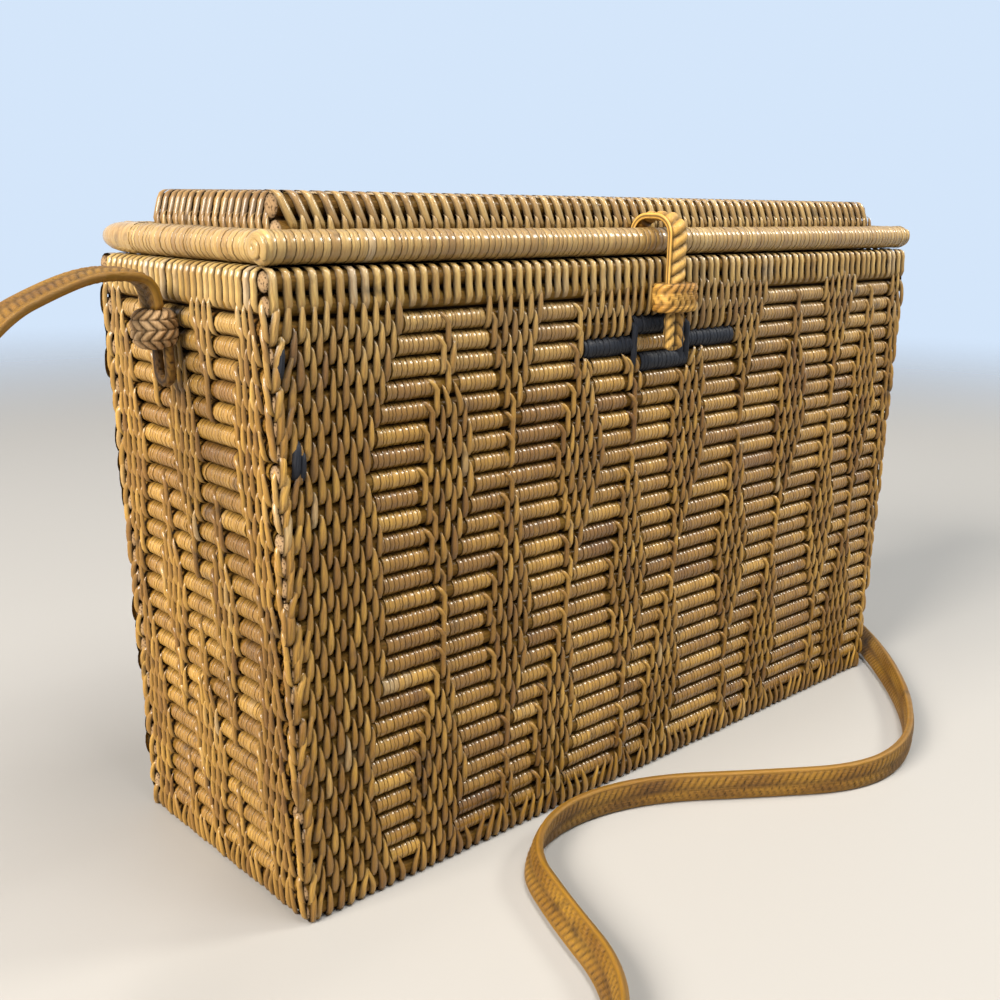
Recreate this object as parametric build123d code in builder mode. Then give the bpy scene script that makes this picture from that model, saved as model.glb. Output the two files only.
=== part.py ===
# A woven rattan box bag: five flat panels of lashed rods, a raised lid on two loop hinges,
# a braided tongue with a sliding ring as closure, and a long braided shoulder strap.
# Millimetres. Origin at the middle of the underside, +X along the front, front towards -Y, +Z up.

import os
from math import atan2, ceil, cos, floor, pi, radians, tan

from build123d import *

os.makedirs("parts", exist_ok=True)

# Box
box_width = 280.0  # over the ridges, along the top edge
box_depth = 86.0  # over the ridges
wall_height = 167.0
side_lean = 6.0  # how far each end wall comes in at the bottom
wall_thickness = 5.0
ridge_height = 1.4
ridge_flank = 1.3  # width of a ridge's slanting side
row_count = 30
base_thickness = 4.5
overrun = 2.0  # how far cuts run past what they cut

# Stitched fields
stitch_pitch = 3.8
stitch_width = 2.4
stitch_taper = 15.0  # degrees
stitch_end_gap = 1.2
neck_width = 3.8  # a chain of diamonds where it is narrowest
diamond_width = 21.5  # and where it is widest
diamond_rows = 15.4  # from one widest row to the next
chain_top_row = 2.0  # first widest row of every second chain
chain_spacing = 25.8
chain_first = 51.8  # first chain from the front's left edge
chain_count = 9
column_left_min = 26.5  # stitched column beside the front's left edge
column_left_max = 35.0
column_right_min = 6.0
column_right_max = 11.0
end_chain_spacing = 13.4  # chains on the end walls
end_middle_width = 17.0
end_outer_width = 12.6
end_column_min = 7.0
end_column_max = 14.0
back_column_min = 20.0
back_column_max = 28.0

# Catch and its dyed windings, measured along X
catch_row = 4  # rows from the top
catch_left = -18.0
catch_right = 6.0
dyed_left = -40.0
dyed_right = 30.0
dyed_top_left = -19.0
dyed_top_right = 1.0
dyed_bottom_left = -15.0
dyed_bottom_right = 7.0

# Lid
lid_gap = 0.5  # between the box's top edge and the rim
rim_radius = 4.2
rim_overhang = 0.5  # how far the rim stands out past the walls
rim_end_radius = 1.6
crown_inset = 11.0  # crown's outer face from the wall's outer face
crown_height = 12.8  # above the flange
crown_rows = 2
crown_wall = 5.0
crown_ridge = 1.2
flange_thickness = 3.0
flange_drop = 0.5  # flange top below the rim's centre
flange_seat = 2.1  # how far the flange reaches under the rim's inner side
top_thickness = 4.0
top_rows = 10
top_ridge = 1.0

# Hinge loops
hinge_spacing = 170.0
loop_width = 5.0
loop_clearance = 0.3
loop_thickness = 1.8
loop_leg = 18.0  # length of the leg on the back wall below the hinge axis
notch_clearance = 0.5

# Closure
closure_x = -4.0
strap_width = 8.0
strap_thickness = 2.6
strap_standoff = 3.8  # tongue's back from the front wall
groove_clearance = 0.2  # strap from the crown, in the groove behind the rim
arch_rise = 3.1  # middle of the strap over the rim's top
arch_radius = 5.5
arch_split = 2.8  # how far the fixed part reaches past the rim's centre
tongue_gap = 0.3
tongue_drop = 27.0  # tongue's end below the box's top edge
tongue_end_radius = 3.4
ring_width = 17.4
ring_depth = 8.6
ring_height = 8.6
ring_drop = 11.3
ring_corner = 3.8
ring_edge = 2.2
ring_clearance = 0.3

# Shoulder strap and its knots
knot_drop = 16.0
knot_y = 1.5
knot_radius = 6.3
knot_end_radius = 4.6
knot_height = 10.0
knot_standoff = 5.8
tail_radius = 1.5
tail_half_gap = 3.2
tail_length = 6.5
tail_standoff = 4.0
cord_diameter = 6.0
cord_rise = 6.3  # straight stretch out of a knot
arc_share = 0.45  # of the shorter neighbouring run, taken up by a bend

# Worked out from the sizes above
row_pitch = wall_height / row_count
half_width = box_width / 2
half_depth = box_depth / 2
half_base = half_width - side_lean
lean_angle = atan2(side_lean, wall_height)
lean_height = wall_height / cos(lean_angle)
inner_depth = half_depth - wall_thickness
rim_z = wall_height + lid_gap + rim_radius
rim_x = half_width + rim_overhang - rim_radius
rim_y = half_depth + rim_overhang - rim_radius
flange_z = rim_z - flange_drop
crown_z = flange_z + crown_height
crown_x = half_width - crown_inset
crown_y = half_depth - crown_inset
tongue_end_z = wall_height - tongue_drop
ring_z = wall_height - ring_drop
knot_z = wall_height - knot_drop


def wall_plane(x, y, right, out):
    return Plane(origin=(x, y, 0), x_dir=right, z_dir=out)


lean_out = (cos(lean_angle), -tan(lean_angle) * cos(lean_angle))
front_plane = wall_plane(0, -half_depth, (1, 0, 0), (0, -1, 0))
back_plane = wall_plane(0, half_depth, (-1, 0, 0), (0, 1, 0))
left_plane = wall_plane(-half_base, 0, (0, -1, 0), (-lean_out[0], 0, lean_out[1]))
right_plane = wall_plane(half_base, 0, (0, 1, 0), (lean_out[0], 0, lean_out[1]))


# Section of stacked ridges: pairs of (height, depth out of the crest plane)
def ridge_line(low, rows, pitch, depth, flank):
    points = []
    for row in range(rows):
        foot = low + row * pitch
        points += [(foot, -depth), (foot + flank, 0), (foot + pitch - flank, 0)]
    return points + [(low + rows * pitch, -depth)]


def section_plane(plane, start):
    return Plane(
        origin=plane.from_local_coords((start, 0, 0)), x_dir=plane.y_dir, z_dir=plane.x_dir
    )


# Half the width of a chain of diamonds at a height, as a zigzag between neck and widest
def zigzag(height, top, widest_row, narrow, wide):
    turn = ((top - height) / row_pitch - widest_row) / diamond_rows
    away = 2 * abs(turn - round(turn))
    return wide - (wide - narrow) * away


def turning_heights(top, low, high, widest_row):
    half_turn = diamond_rows * row_pitch / 2
    start = top - widest_row * row_pitch
    first = ceil((low - start) / half_turn)
    last = floor((high - start) / half_turn)
    inside = [start + k * half_turn for k in range(first, last + 1)]
    return [low] + [h for h in inside if low < h < high] + [high]


# Outline of a field whose two sides are given as functions of the height
def field_outline(heights, left, right):
    return [(right(h), h) for h in heights] + [(left(h), h) for h in reversed(heights)]


# Upright stitches of a field: one at each place where the field is wide enough
def field_stitches(places, heights, left, right):
    stitches = []
    for place in places:
        for low, high in zip(heights, heights[1:]):
            span = clip_span(place, low, high, left, right)
            if span:
                stitches.append((place, span[0], span[1]))
    return join_spans(stitches)


# The stretch between two turning heights where both sides leave room for a stitch
def clip_span(place, low, high, left, right):
    near, far = low, high
    room = stitch_width / 2
    for side, sign in ((left, -1), (right, 1)):
        at_low = sign * (side(low) - place) - room
        at_high = sign * (side(high) - place) - room
        if at_low < 0 and at_high < 0:
            return None
        if at_low < 0:
            near = max(near, low + (high - low) * at_low / (at_low - at_high))
        elif at_high < 0:
            far = min(far, low + (high - low) * at_low / (at_low - at_high))
    return (near, far) if far - near > stitch_pitch else None


def join_spans(stitches):
    joined = []
    for place, low, high in stitches:
        if joined and joined[-1][0] == place and abs(joined[-1][2] - low) < stitch_end_gap:
            joined[-1] = (place, joined[-1][1], high)
        else:
            joined.append((place, low, high))
    return joined


def chain_field(middle, top, low, high, widest_row, width):
    def reach(h):
        return zigzag(h, top, widest_row, neck_width / 2, width / 2)

    heights = turning_heights(top, low, high, widest_row)
    side_count = round((width / 2 - stitch_width / 2) / stitch_pitch)
    places = [middle + k * stitch_pitch for k in range(-side_count, side_count + 1)]
    left, right = (lambda h: middle - reach(h)), (lambda h: middle + reach(h))
    return field_outline(heights, left, right), field_stitches(places, heights, left, right)


# A stitched column beside an edge of a wall; sign -1 is the left edge, 1 the right one
def column_field(edge, sign, narrow, wide, top, low, high, widest_row):
    def inner(h):
        return sign * (edge - zigzag(h, top, widest_row, narrow, wide))

    def outer(h):
        return sign * (edge + overrun)

    heights = turning_heights(top, low, high, widest_row)
    count = int(wide / stitch_pitch)
    places = [sign * (edge - (k + 1) * stitch_pitch) for k in range(count)]
    sides = (outer, inner) if sign < 0 else (inner, outer)
    return field_outline(heights, *sides), field_stitches(places, heights, *sides)


# A wall of stacked rods with stitched fields: fields are cut back to the rods and ribbed
def woven_panel(plane, half_low, half_high, height, fields, pockets, notches):
    reach = max(half_low, half_high)
    pitch = height / row_count
    with BuildPart() as panel:
        with BuildSketch(section_plane(plane, -reach)):
            with BuildLine():
                line = ridge_line(0, row_count, pitch, ridge_height, ridge_flank)
                Polyline(*line, (height, -wall_thickness), (0, -wall_thickness), close=True)
            make_face()
        extrude(amount=2 * reach)
        with BuildSketch(plane.offset(-ridge_height)):
            for outline, _ in fields:
                with BuildLine():
                    Polyline(*outline, close=True)
                make_face()
        extrude(amount=ridge_height + overrun, mode=Mode.SUBTRACT)
        with BuildSketch(plane.offset(-ridge_height)):
            for _, stitches in fields:
                for place, low, high in stitches:
                    with Locations((place, (low + high) / 2)):
                        Rectangle(stitch_width, high - low - stitch_end_gap)
        extrude(amount=ridge_height, taper=stitch_taper)
        for pocket in pockets:
            with BuildSketch(plane.offset(-ridge_height)):
                with Locations(pocket[0]):
                    Rectangle(*pocket[1])
            extrude(amount=ridge_height + overrun, mode=Mode.SUBTRACT)
        for notch in notches:
            with BuildSketch(plane.offset(-wall_thickness - overrun)):
                with Locations(notch[0]):
                    Rectangle(*notch[1])
            extrude(amount=wall_thickness + 2 * overrun, mode=Mode.SUBTRACT)
        with BuildSketch(plane.offset(-wall_thickness)):
            with BuildLine():
                Polyline(
                    (-half_low, 0), (half_low, 0), (half_high, height), (-half_high, height),
                    close=True,
                )
            make_face()
        extrude(amount=wall_thickness + overrun, mode=Mode.INTERSECT)
    return panel.part


def finish(part, name):
    part.label = name
    export_step(part, f"parts/{name}.step")


# Front wall: a column, the chains, a column
fields_low = row_pitch
fields_high = wall_height - row_pitch
chain_low_row = chain_top_row + diamond_rows / 2


def front_fields():
    found = [column_field(half_width, -1, column_left_min, column_left_max,
                          wall_height, fields_low, fields_high, chain_top_row)]
    for k in range(chain_count):
        middle = chain_first + k * chain_spacing - half_width
        widest_row = chain_low_row if k % 2 == 0 else chain_top_row
        found.append(chain_field(middle, wall_height, fields_low, fields_high, widest_row,
                                 diamond_width))
    found.append(column_field(half_width, 1, column_right_min, column_right_max,
                              wall_height, fields_low, fields_high, chain_top_row))
    return found


# Places of the dyed windings and the catch on the front wall: centre and size
def front_bar(row, left, right):
    height = wall_height - (row + 1 / 2) * row_pitch
    return ((left + right) / 2, height), (right - left, row_pitch)


dyed_bars = [
    front_bar(catch_row - 1, dyed_top_left, dyed_top_right),
    front_bar(catch_row, dyed_left, catch_left),
    front_bar(catch_row, catch_right, dyed_right),
    front_bar(catch_row + 1, dyed_bottom_left, dyed_bottom_right),
]
catch_bar = front_bar(catch_row, catch_left, catch_right)

front_panel = woven_panel(
    front_plane, half_base, half_width, wall_height, front_fields(), dyed_bars + [catch_bar], []
)
finish(front_panel, "front_panel")


# Short rolls laid into the pockets of the front wall
def roll_bars(bars):
    with BuildPart() as rolls:
        for (middle, height), (length, pitch) in bars:
            with BuildSketch(section_plane(front_plane, middle - length / 2)):
                with BuildLine():
                    low = height - pitch / 2
                    Polyline(*ridge_line(low, 1, pitch, ridge_height, ridge_flank), close=True)
                make_face()
            extrude(amount=length)
    return rolls.part


dyed_wraps = roll_bars(dyed_bars)
finish(dyed_wraps, "dyed_wraps")
catch_rod = roll_bars([catch_bar])
finish(catch_rod, "catch_rod")

# Back wall: rolls from edge to edge between two stitched columns, with notches for the loops
back_fields = [
    column_field(half_width, sign, back_column_min, back_column_max,
                 wall_height, fields_low, fields_high, chain_top_row)
    for sign in (-1, 1)
]
loop_inner = rim_radius + loop_clearance
loop_outer = loop_inner + loop_thickness
notch_size = (loop_width + 2 * notch_clearance, loop_outer + notch_clearance - rim_z + wall_height)
hinge_places = (-hinge_spacing / 2, hinge_spacing / 2)
back_notches = [
    ((-x, wall_height - notch_size[1] / 2 + overrun / 2), (notch_size[0], notch_size[1] + overrun))
    for x in hinge_places
]
back_panel = woven_panel(
    back_plane, half_base, half_width, wall_height, back_fields, [], back_notches
)
finish(back_panel, "back_panel")


# End walls
def end_fields():
    found = [
        column_field(inner_depth, sign, end_column_min, end_column_max,
                     lean_height, fields_low, fields_high, chain_low_row)
        for sign in (-1, 1)
    ]
    outer, middle = (chain_top_row, end_outer_width), (chain_low_row, end_middle_width)
    for step, chain in ((-1, outer), (0, middle), (1, outer)):
        found.append(chain_field(step * end_chain_spacing, lean_height, fields_low, fields_high,
                                 *chain))
    return found


left_panel = woven_panel(left_plane, inner_depth, inner_depth, lean_height, end_fields(), [], [])
finish(left_panel, "left_panel")
right_panel = woven_panel(right_plane, inner_depth, inner_depth, lean_height, end_fields(), [], [])
finish(right_panel, "right_panel")


# Bottom, between the walls
def inner_half(z):
    return half_base + z * tan(lean_angle) - wall_thickness / cos(lean_angle)


with BuildPart() as base_panel:
    with BuildSketch(Plane.XZ.offset(-inner_depth)):
        with BuildLine():
            Polyline(
                (-inner_half(0), 0), (inner_half(0), 0),
                (inner_half(base_thickness), base_thickness),
                (-inner_half(base_thickness), base_thickness), close=True,
            )
        make_face()
    extrude(amount=2 * inner_depth)
finish(base_panel.part, "base_panel")


# Lid rim: thick wound rods, the front and back ones full length
def rim_roll(plane, half_length, end_radius):
    with BuildPart() as roll:
        with BuildSketch(plane.offset(-half_length)):
            Circle(rim_radius)
        extrude(amount=2 * half_length)
        if end_radius:
            fillet(roll.edges().filter_by(GeomType.CIRCLE), radius=end_radius)
    return roll.part


def along_x(y):
    return Plane(origin=(0, y, rim_z), x_dir=(0, 1, 0), z_dir=(1, 0, 0))


def along_y(x):
    return Plane(origin=(x, 0, rim_z), x_dir=(-1, 0, 0), z_dir=(0, 1, 0))


side_roll_half = rim_y - rim_radius
finish(rim_roll(along_x(-rim_y), half_width + rim_overhang, rim_end_radius), "rim_roll_front")
finish(rim_roll(along_x(rim_y), half_width + rim_overhang, rim_end_radius), "rim_roll_back")
finish(rim_roll(along_y(-rim_x), side_roll_half, 0), "rim_roll_left")
finish(rim_roll(along_y(rim_x), side_roll_half, 0), "rim_roll_right")

# Crown walls with their flange, which seats under the rim
flange_y = rim_y - rim_radius + flange_seat
flange_x = rim_x - rim_radius + flange_seat
crown_pitch = crown_height / crown_rows


def crown_wall_part(plane, half_wall, flange_size, flange_middle, notches):
    with BuildPart() as wall:
        with BuildSketch(section_plane(plane, -half_wall)):
            with BuildLine():
                line = ridge_line(flange_z, crown_rows, crown_pitch, crown_ridge, ridge_flank)
                low = flange_z - flange_thickness
                Polyline(*line, (crown_z, -crown_wall), (low, -crown_wall), (low, -crown_ridge),
                         close=True)
            make_face()
        extrude(amount=2 * half_wall)
        with BuildSketch(Plane.XY.offset(flange_z - flange_thickness)):
            with Locations(flange_middle):
                Rectangle(*flange_size)
        extrude(amount=flange_thickness)
        for notch_middle, notch_extent in notches:
            with BuildSketch(Plane.XY.offset(flange_z - flange_thickness - overrun)):
                with Locations(notch_middle):
                    Rectangle(*notch_extent)
            extrude(amount=flange_thickness + 2 * overrun, mode=Mode.SUBTRACT)
        for y in (-rim_y, rim_y):
            with BuildSketch(along_x(y).offset(-half_width)):
                Circle(rim_radius)
            extrude(amount=box_width, mode=Mode.SUBTRACT)
        for x in (-rim_x, rim_x):
            with BuildSketch(along_y(x).offset(-half_depth)):
                Circle(rim_radius)
            extrude(amount=box_depth, mode=Mode.SUBTRACT)
    return wall.part


crown_front = wall_plane(0, -crown_y, (1, 0, 0), (0, -1, 0))
crown_back = wall_plane(0, crown_y, (-1, 0, 0), (0, 1, 0))
crown_left = wall_plane(-crown_x, 0, (0, -1, 0), (-1, 0, 0))
crown_right = wall_plane(crown_x, 0, (0, 1, 0), (1, 0, 0))
crown_inner_y = crown_y - crown_wall
crown_inner_x = crown_x - crown_wall
long_flange = (2 * flange_x, flange_y - crown_inner_y)
short_flange = (flange_x - crown_inner_x, 2 * crown_inner_y)
long_middle = (flange_y + crown_inner_y) / 2
short_middle = (flange_x + crown_inner_x) / 2
flange_notches = [
    ((x, (crown_y + flange_y + overrun) / 2), (notch_size[0], flange_y + overrun - crown_y))
    for x in hinge_places
]
lid_front = crown_wall_part(crown_front, crown_x, long_flange, (0, -long_middle), [])
finish(lid_front, "lid_front")
lid_back = crown_wall_part(crown_back, crown_x, long_flange, (0, long_middle), flange_notches)
finish(lid_back, "lid_back")
lid_left = crown_wall_part(crown_left, crown_inner_y, short_flange, (-short_middle, 0), [])
finish(lid_left, "lid_left")
lid_right = crown_wall_part(crown_right, crown_inner_y, short_flange, (short_middle, 0), [])
finish(lid_right, "lid_right")

# Flat top of the crown, its rods along X
with BuildPart() as lid_top:
    with BuildSketch(Plane(origin=(-crown_inner_x, 0, crown_z), x_dir=(0, 1, 0), z_dir=(1, 0, 0))):
        with BuildLine():
            top_pitch = 2 * crown_inner_y / top_rows
            line = ridge_line(-crown_inner_y, top_rows, top_pitch, top_ridge, ridge_flank)
            Polyline(*line, (crown_inner_y, -top_thickness), (-crown_inner_y, -top_thickness),
                     close=True)
        make_face()
    extrude(amount=2 * crown_inner_x)
finish(lid_top.part, "lid_top")


# Hinge loops: an eye round the back rim roll and a leg tied down the back wall
def hinge_loop(x):
    with BuildPart() as loop:
        with BuildSketch(along_x(rim_y).offset(x - loop_width / 2)):
            Circle(loop_outer)
            with Locations(((half_depth - rim_y + loop_outer) / 2, -loop_leg / 2)):
                Rectangle(rim_y + loop_outer - half_depth, loop_leg)
            Circle(loop_inner, mode=Mode.SUBTRACT)
        extrude(amount=loop_width)
    return loop.part


finish(hinge_loop(hinge_places[0]), "hinge_loop_left")
finish(hinge_loop(hinge_places[1]), "hinge_loop_right")

# Closure: a strap out of the groove, over the rim and down the front
strap_back_y = -crown_y - groove_clearance - strap_thickness / 2
strap_front_y = -half_depth - strap_standoff - strap_thickness / 2
arch_z = rim_z + rim_radius + arch_rise
split_y = -rim_y - arch_split


def strap_length(points, end_radius):
    with BuildPart() as strap:
        with BuildLine(Plane.YZ.offset(closure_x)) as path:
            FilletPolyline(*points, radius=arch_radius)
        with BuildSketch(Plane(path.wire() @ 0, x_dir=(1, 0, 0), z_dir=path.wire() % 0)):
            Rectangle(strap_width, strap_thickness)
        sweep()
        if end_radius:
            low_face = strap.faces().sort_by(Axis.Z)[0]
            fillet(low_face.edges().filter_by(Axis.Y), radius=end_radius)
    return strap.part


closure_arch = strap_length(
    [(strap_back_y, flange_z), (strap_back_y, arch_z), (split_y, arch_z)], 0
)
finish(closure_arch, "closure_arch")
closure_tongue = strap_length(
    [(split_y - tongue_gap, arch_z), (strap_front_y, arch_z), (strap_front_y, tongue_end_z)],
    tongue_end_radius,
)
finish(closure_tongue, "closure_tongue")

# Ring that slides on the tongue
with BuildPart() as closure_ring:
    with BuildSketch(Plane.XY.offset(ring_z - ring_height / 2)):
        with Locations((closure_x, strap_front_y)):
            RectangleRounded(ring_width, ring_depth, ring_corner)
    extrude(amount=ring_height)
    fillet(closure_ring.faces().filter_by(Axis.Z).edges(), radius=ring_edge)
    with BuildSketch(Plane.XY.offset(ring_z - ring_height / 2 - overrun)):
        with Locations((closure_x, strap_front_y)):
            Rectangle(strap_width + 2 * ring_clearance, strap_thickness + 2 * ring_clearance)
    extrude(amount=ring_height + 2 * overrun, mode=Mode.SUBTRACT)
finish(closure_ring.part, "closure_ring")


# Barrel knot seated on an end wall, and the U-shaped tail below it
def knot_centre(plane, along):
    return plane.from_local_coords((along, knot_z, knot_standoff))


def strap_knot(plane, along):
    centre = knot_centre(plane, along)
    half = knot_height / 2
    with BuildPart() as knot:
        with BuildSketch(Plane(origin=centre, x_dir=plane.x_dir, z_dir=plane.z_dir)):
            with BuildLine():
                Polyline((knot_end_radius, half), (0, half), (0, -half), (knot_end_radius, -half))
                ThreePointArc((knot_end_radius, -half), (knot_radius, 0), (knot_end_radius, half))
            make_face()
        revolve(axis=Axis(centre, plane.y_dir))
        with BuildSketch(plane.offset(-overrun)):
            with Locations((along, knot_z)):
                Rectangle(4 * knot_radius, 4 * knot_radius)
        extrude(amount=overrun, mode=Mode.SUBTRACT)
    return knot.part


def strap_loop(plane, along):
    top = knot_z - knot_height / 2
    low = top - tail_length
    tail_plane = plane.offset(tail_standoff)
    with BuildPart() as tail:
        with BuildLine(tail_plane) as path:
            Line((along - tail_half_gap, top), (along - tail_half_gap, low))
            ThreePointArc((along - tail_half_gap, low), (along, low - tail_half_gap),
                          (along + tail_half_gap, low))
            Line((along + tail_half_gap, low), (along + tail_half_gap, top))
        with BuildSketch(Plane(path.wire() @ 0, z_dir=path.wire() % 0)):
            Circle(tail_radius)
        sweep()
    return tail.part


finish(strap_knot(left_plane, -knot_y), "strap_knot_left")
finish(strap_knot(right_plane, knot_y), "strap_knot_right")
finish(strap_loop(left_plane, -knot_y), "strap_loop_left")
finish(strap_loop(right_plane, knot_y), "strap_loop_right")


# Shoulder strap: from the top of one knot, over the table, to the top of the other
def knot_exit(plane, along, rise):
    return plane.from_local_coords((along, knot_z + knot_height / 2 + rise, knot_standoff))


cord_route = [
    (-149.9, 1.4, 166.0),
    (-158.0, 1.0, 167.0),
    (-171.0, -2.0, 163.0),
    (-189.0, -9.0, 154.0),
    (-206.0, -18.0, 138.0),
    (-219.0, -29.0, 110.0),
    (-227.0, -42.0, 75.0),
    (-230.0, -58.0, 41.0),
    (-225.0, -79.0, 13.0),
    (-209.0, -105.0, 3.1),
    (-182.0, -127.0, 3.1),
    (-150.0, -139.0, 3.1),
    (-118.0, -135.0, 3.1),
    (-96.0, -116.0, 3.1),
    (-86.0, -87.0, 3.1),
    (-75.0, -62.0, 3.1),
    (-49.0, -52.0, 3.1),
    (-19.0, -59.0, 3.1),
    (11.0, -81.0, 3.1),
    (40.0, -100.5, 3.1),
    (69.0, -100.0, 3.1),
    (99.0, -83.5, 3.1),
    (130.0, -57.0, 3.1),
    (155.0, -30.0, 3.1),
    (173.0, -4.0, 4.0),
    (182.0, 10.0, 21.0),
    (184.0, 15.0, 50.0),
    (181.0, 12.5, 82.0),
    (177.0, 9.0, 114.0),
    (172.5, 6.0, 140.0),
    (167.0, 3.5, 158.5),
    (158.0, 2.0, 167.2),
    (149.9, 1.6, 166.0),
]
cord_points = [knot_exit(left_plane, -knot_y, rise) for rise in (0, cord_rise)]
cord_points += [Vector(*point) for point in cord_route]
cord_points += [knot_exit(right_plane, knot_y, rise) for rise in (cord_rise, 0)]


# Largest arc that two neighbouring runs leave room for
def corner_radius(before, corner, after):
    turn = radians((corner - before).get_angle(after - corner))
    shorter = min((corner - before).length, (after - corner).length)
    return arc_share * shorter / tan(turn / 2)


cord_radii = [corner_radius(*cord_points[k - 1 : k + 2]) for k in range(1, len(cord_points) - 1)]
with BuildPart() as shoulder_strap:
    with BuildLine() as cord_path:
        FilletPolyline(*cord_points, radius=cord_radii)
    with BuildSketch(Plane(cord_path.wire() @ 0, z_dir=cord_path.wire() % 0)):
        Circle(cord_diameter / 2)
    sweep()
finish(shoulder_strap.part, "shoulder_strap")

cord_length = cord_path.wire().length
cord_section = pi * cord_diameter**2 / 4
print("strap radii", [round(radius, 1) for radius in cord_radii])
print("strap length", round(cord_length, 1))
print("strap volume share", round(shoulder_strap.part.volume / (cord_section * cord_length), 4))
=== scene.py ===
import bpy
import numpy as np
from mathutils import Matrix, Vector


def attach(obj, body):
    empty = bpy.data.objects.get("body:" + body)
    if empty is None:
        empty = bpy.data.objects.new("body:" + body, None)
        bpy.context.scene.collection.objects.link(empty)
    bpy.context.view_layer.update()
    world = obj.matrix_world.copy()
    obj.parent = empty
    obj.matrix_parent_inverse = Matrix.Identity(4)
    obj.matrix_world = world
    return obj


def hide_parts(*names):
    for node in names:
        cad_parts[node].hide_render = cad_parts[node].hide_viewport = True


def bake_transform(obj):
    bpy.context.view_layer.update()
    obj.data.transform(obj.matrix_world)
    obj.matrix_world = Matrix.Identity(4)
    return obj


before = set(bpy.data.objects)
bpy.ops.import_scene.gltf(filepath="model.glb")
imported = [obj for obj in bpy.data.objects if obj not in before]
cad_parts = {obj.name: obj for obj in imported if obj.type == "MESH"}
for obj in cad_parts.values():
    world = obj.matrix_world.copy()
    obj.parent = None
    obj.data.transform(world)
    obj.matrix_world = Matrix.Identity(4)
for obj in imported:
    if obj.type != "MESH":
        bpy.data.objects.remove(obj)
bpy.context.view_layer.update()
mm = 0.001
rng = np.random.default_rng(11)

# Box and lid sizes in millimetres, as the solids have them
box = dict(halfTop=140.0, halfBase=134.0, halfDepth=43.0, innerDepth=38.0, height=167.0, rows=30)
lid = dict(top=184.0, crownHalf=129.0, crownDepth=32.0, rimHalf=136.3, rimDepth=39.3)
lean = np.arctan2(box["halfTop"] - box["halfBase"], box["height"])
leanHeight = box["height"] / np.cos(lean)
upLean, outLean = np.cos(lean), np.sin(lean)


# A wall is an origin with three directions: right and up as seen from outside, and out
def wallOf(origin, right, up, out):
    return [np.array(v, float) for v in (origin, right, up, out)]


# Four upright walls, half and deep away from the middle
def uprightWalls(name, half, deep):
    return {
        name + "Front": wallOf((0, -deep, 0), (1, 0, 0), (0, 0, 1), (0, -1, 0)),
        name + "Back": wallOf((0, deep, 0), (-1, 0, 0), (0, 0, 1), (0, 1, 0)),
        name + "Left": wallOf((-half, 0, 0), (0, -1, 0), (0, 0, 1), (-1, 0, 0)),
        name + "Right": wallOf((half, 0, 0), (0, 1, 0), (0, 0, 1), (1, 0, 0)),
    }


walls = {
    "front": wallOf((0, -box["halfDepth"], 0), (1, 0, 0), (0, 0, 1), (0, -1, 0)),
    "back": wallOf((0, box["halfDepth"], 0), (-1, 0, 0), (0, 0, 1), (0, 1, 0)),
    "left": wallOf((-box["halfBase"], 0, 0), (0, -1, 0), (-outLean, 0, upLean), (-upLean, 0, -outLean)),
    "right": wallOf((box["halfBase"], 0, 0), (0, 1, 0), (outLean, 0, upLean), (upLean, 0, -outLean)),
    "lidTop": wallOf((0, 0, lid["top"]), (1, 0, 0), (0, 1, 0), (0, 0, 1)),
    **uprightWalls("crown", lid["crownHalf"], lid["crownDepth"]),
    **uprightWalls("rim", lid["rimHalf"], lid["rimDepth"]),
}


# Point on a wall: origin + across * right + high * up + depth * out
def onWall(wall, across, high, depth):
    origin, right, up, out = wall
    across, high, depth = np.broadcast_arrays(across, high, depth)
    return origin + across[..., None] * right + high[..., None] * up + depth[..., None] * out


# One value for each sheet of a patch, ready to meet the points down and across it
def perSheet(*values):
    return [np.asarray(v, float)[:, None, None] for v in np.broadcast_arrays(*values)]


def smooth(x):
    x = np.clip(x, 0, 1)
    return x * x * (3 - 2 * x)


# Tones of so many strands, about a middle value
def tones(shape, middle=0.5, spread=0.2):
    return np.clip(rng.normal(middle, spread, shape), 0, 1)


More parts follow.
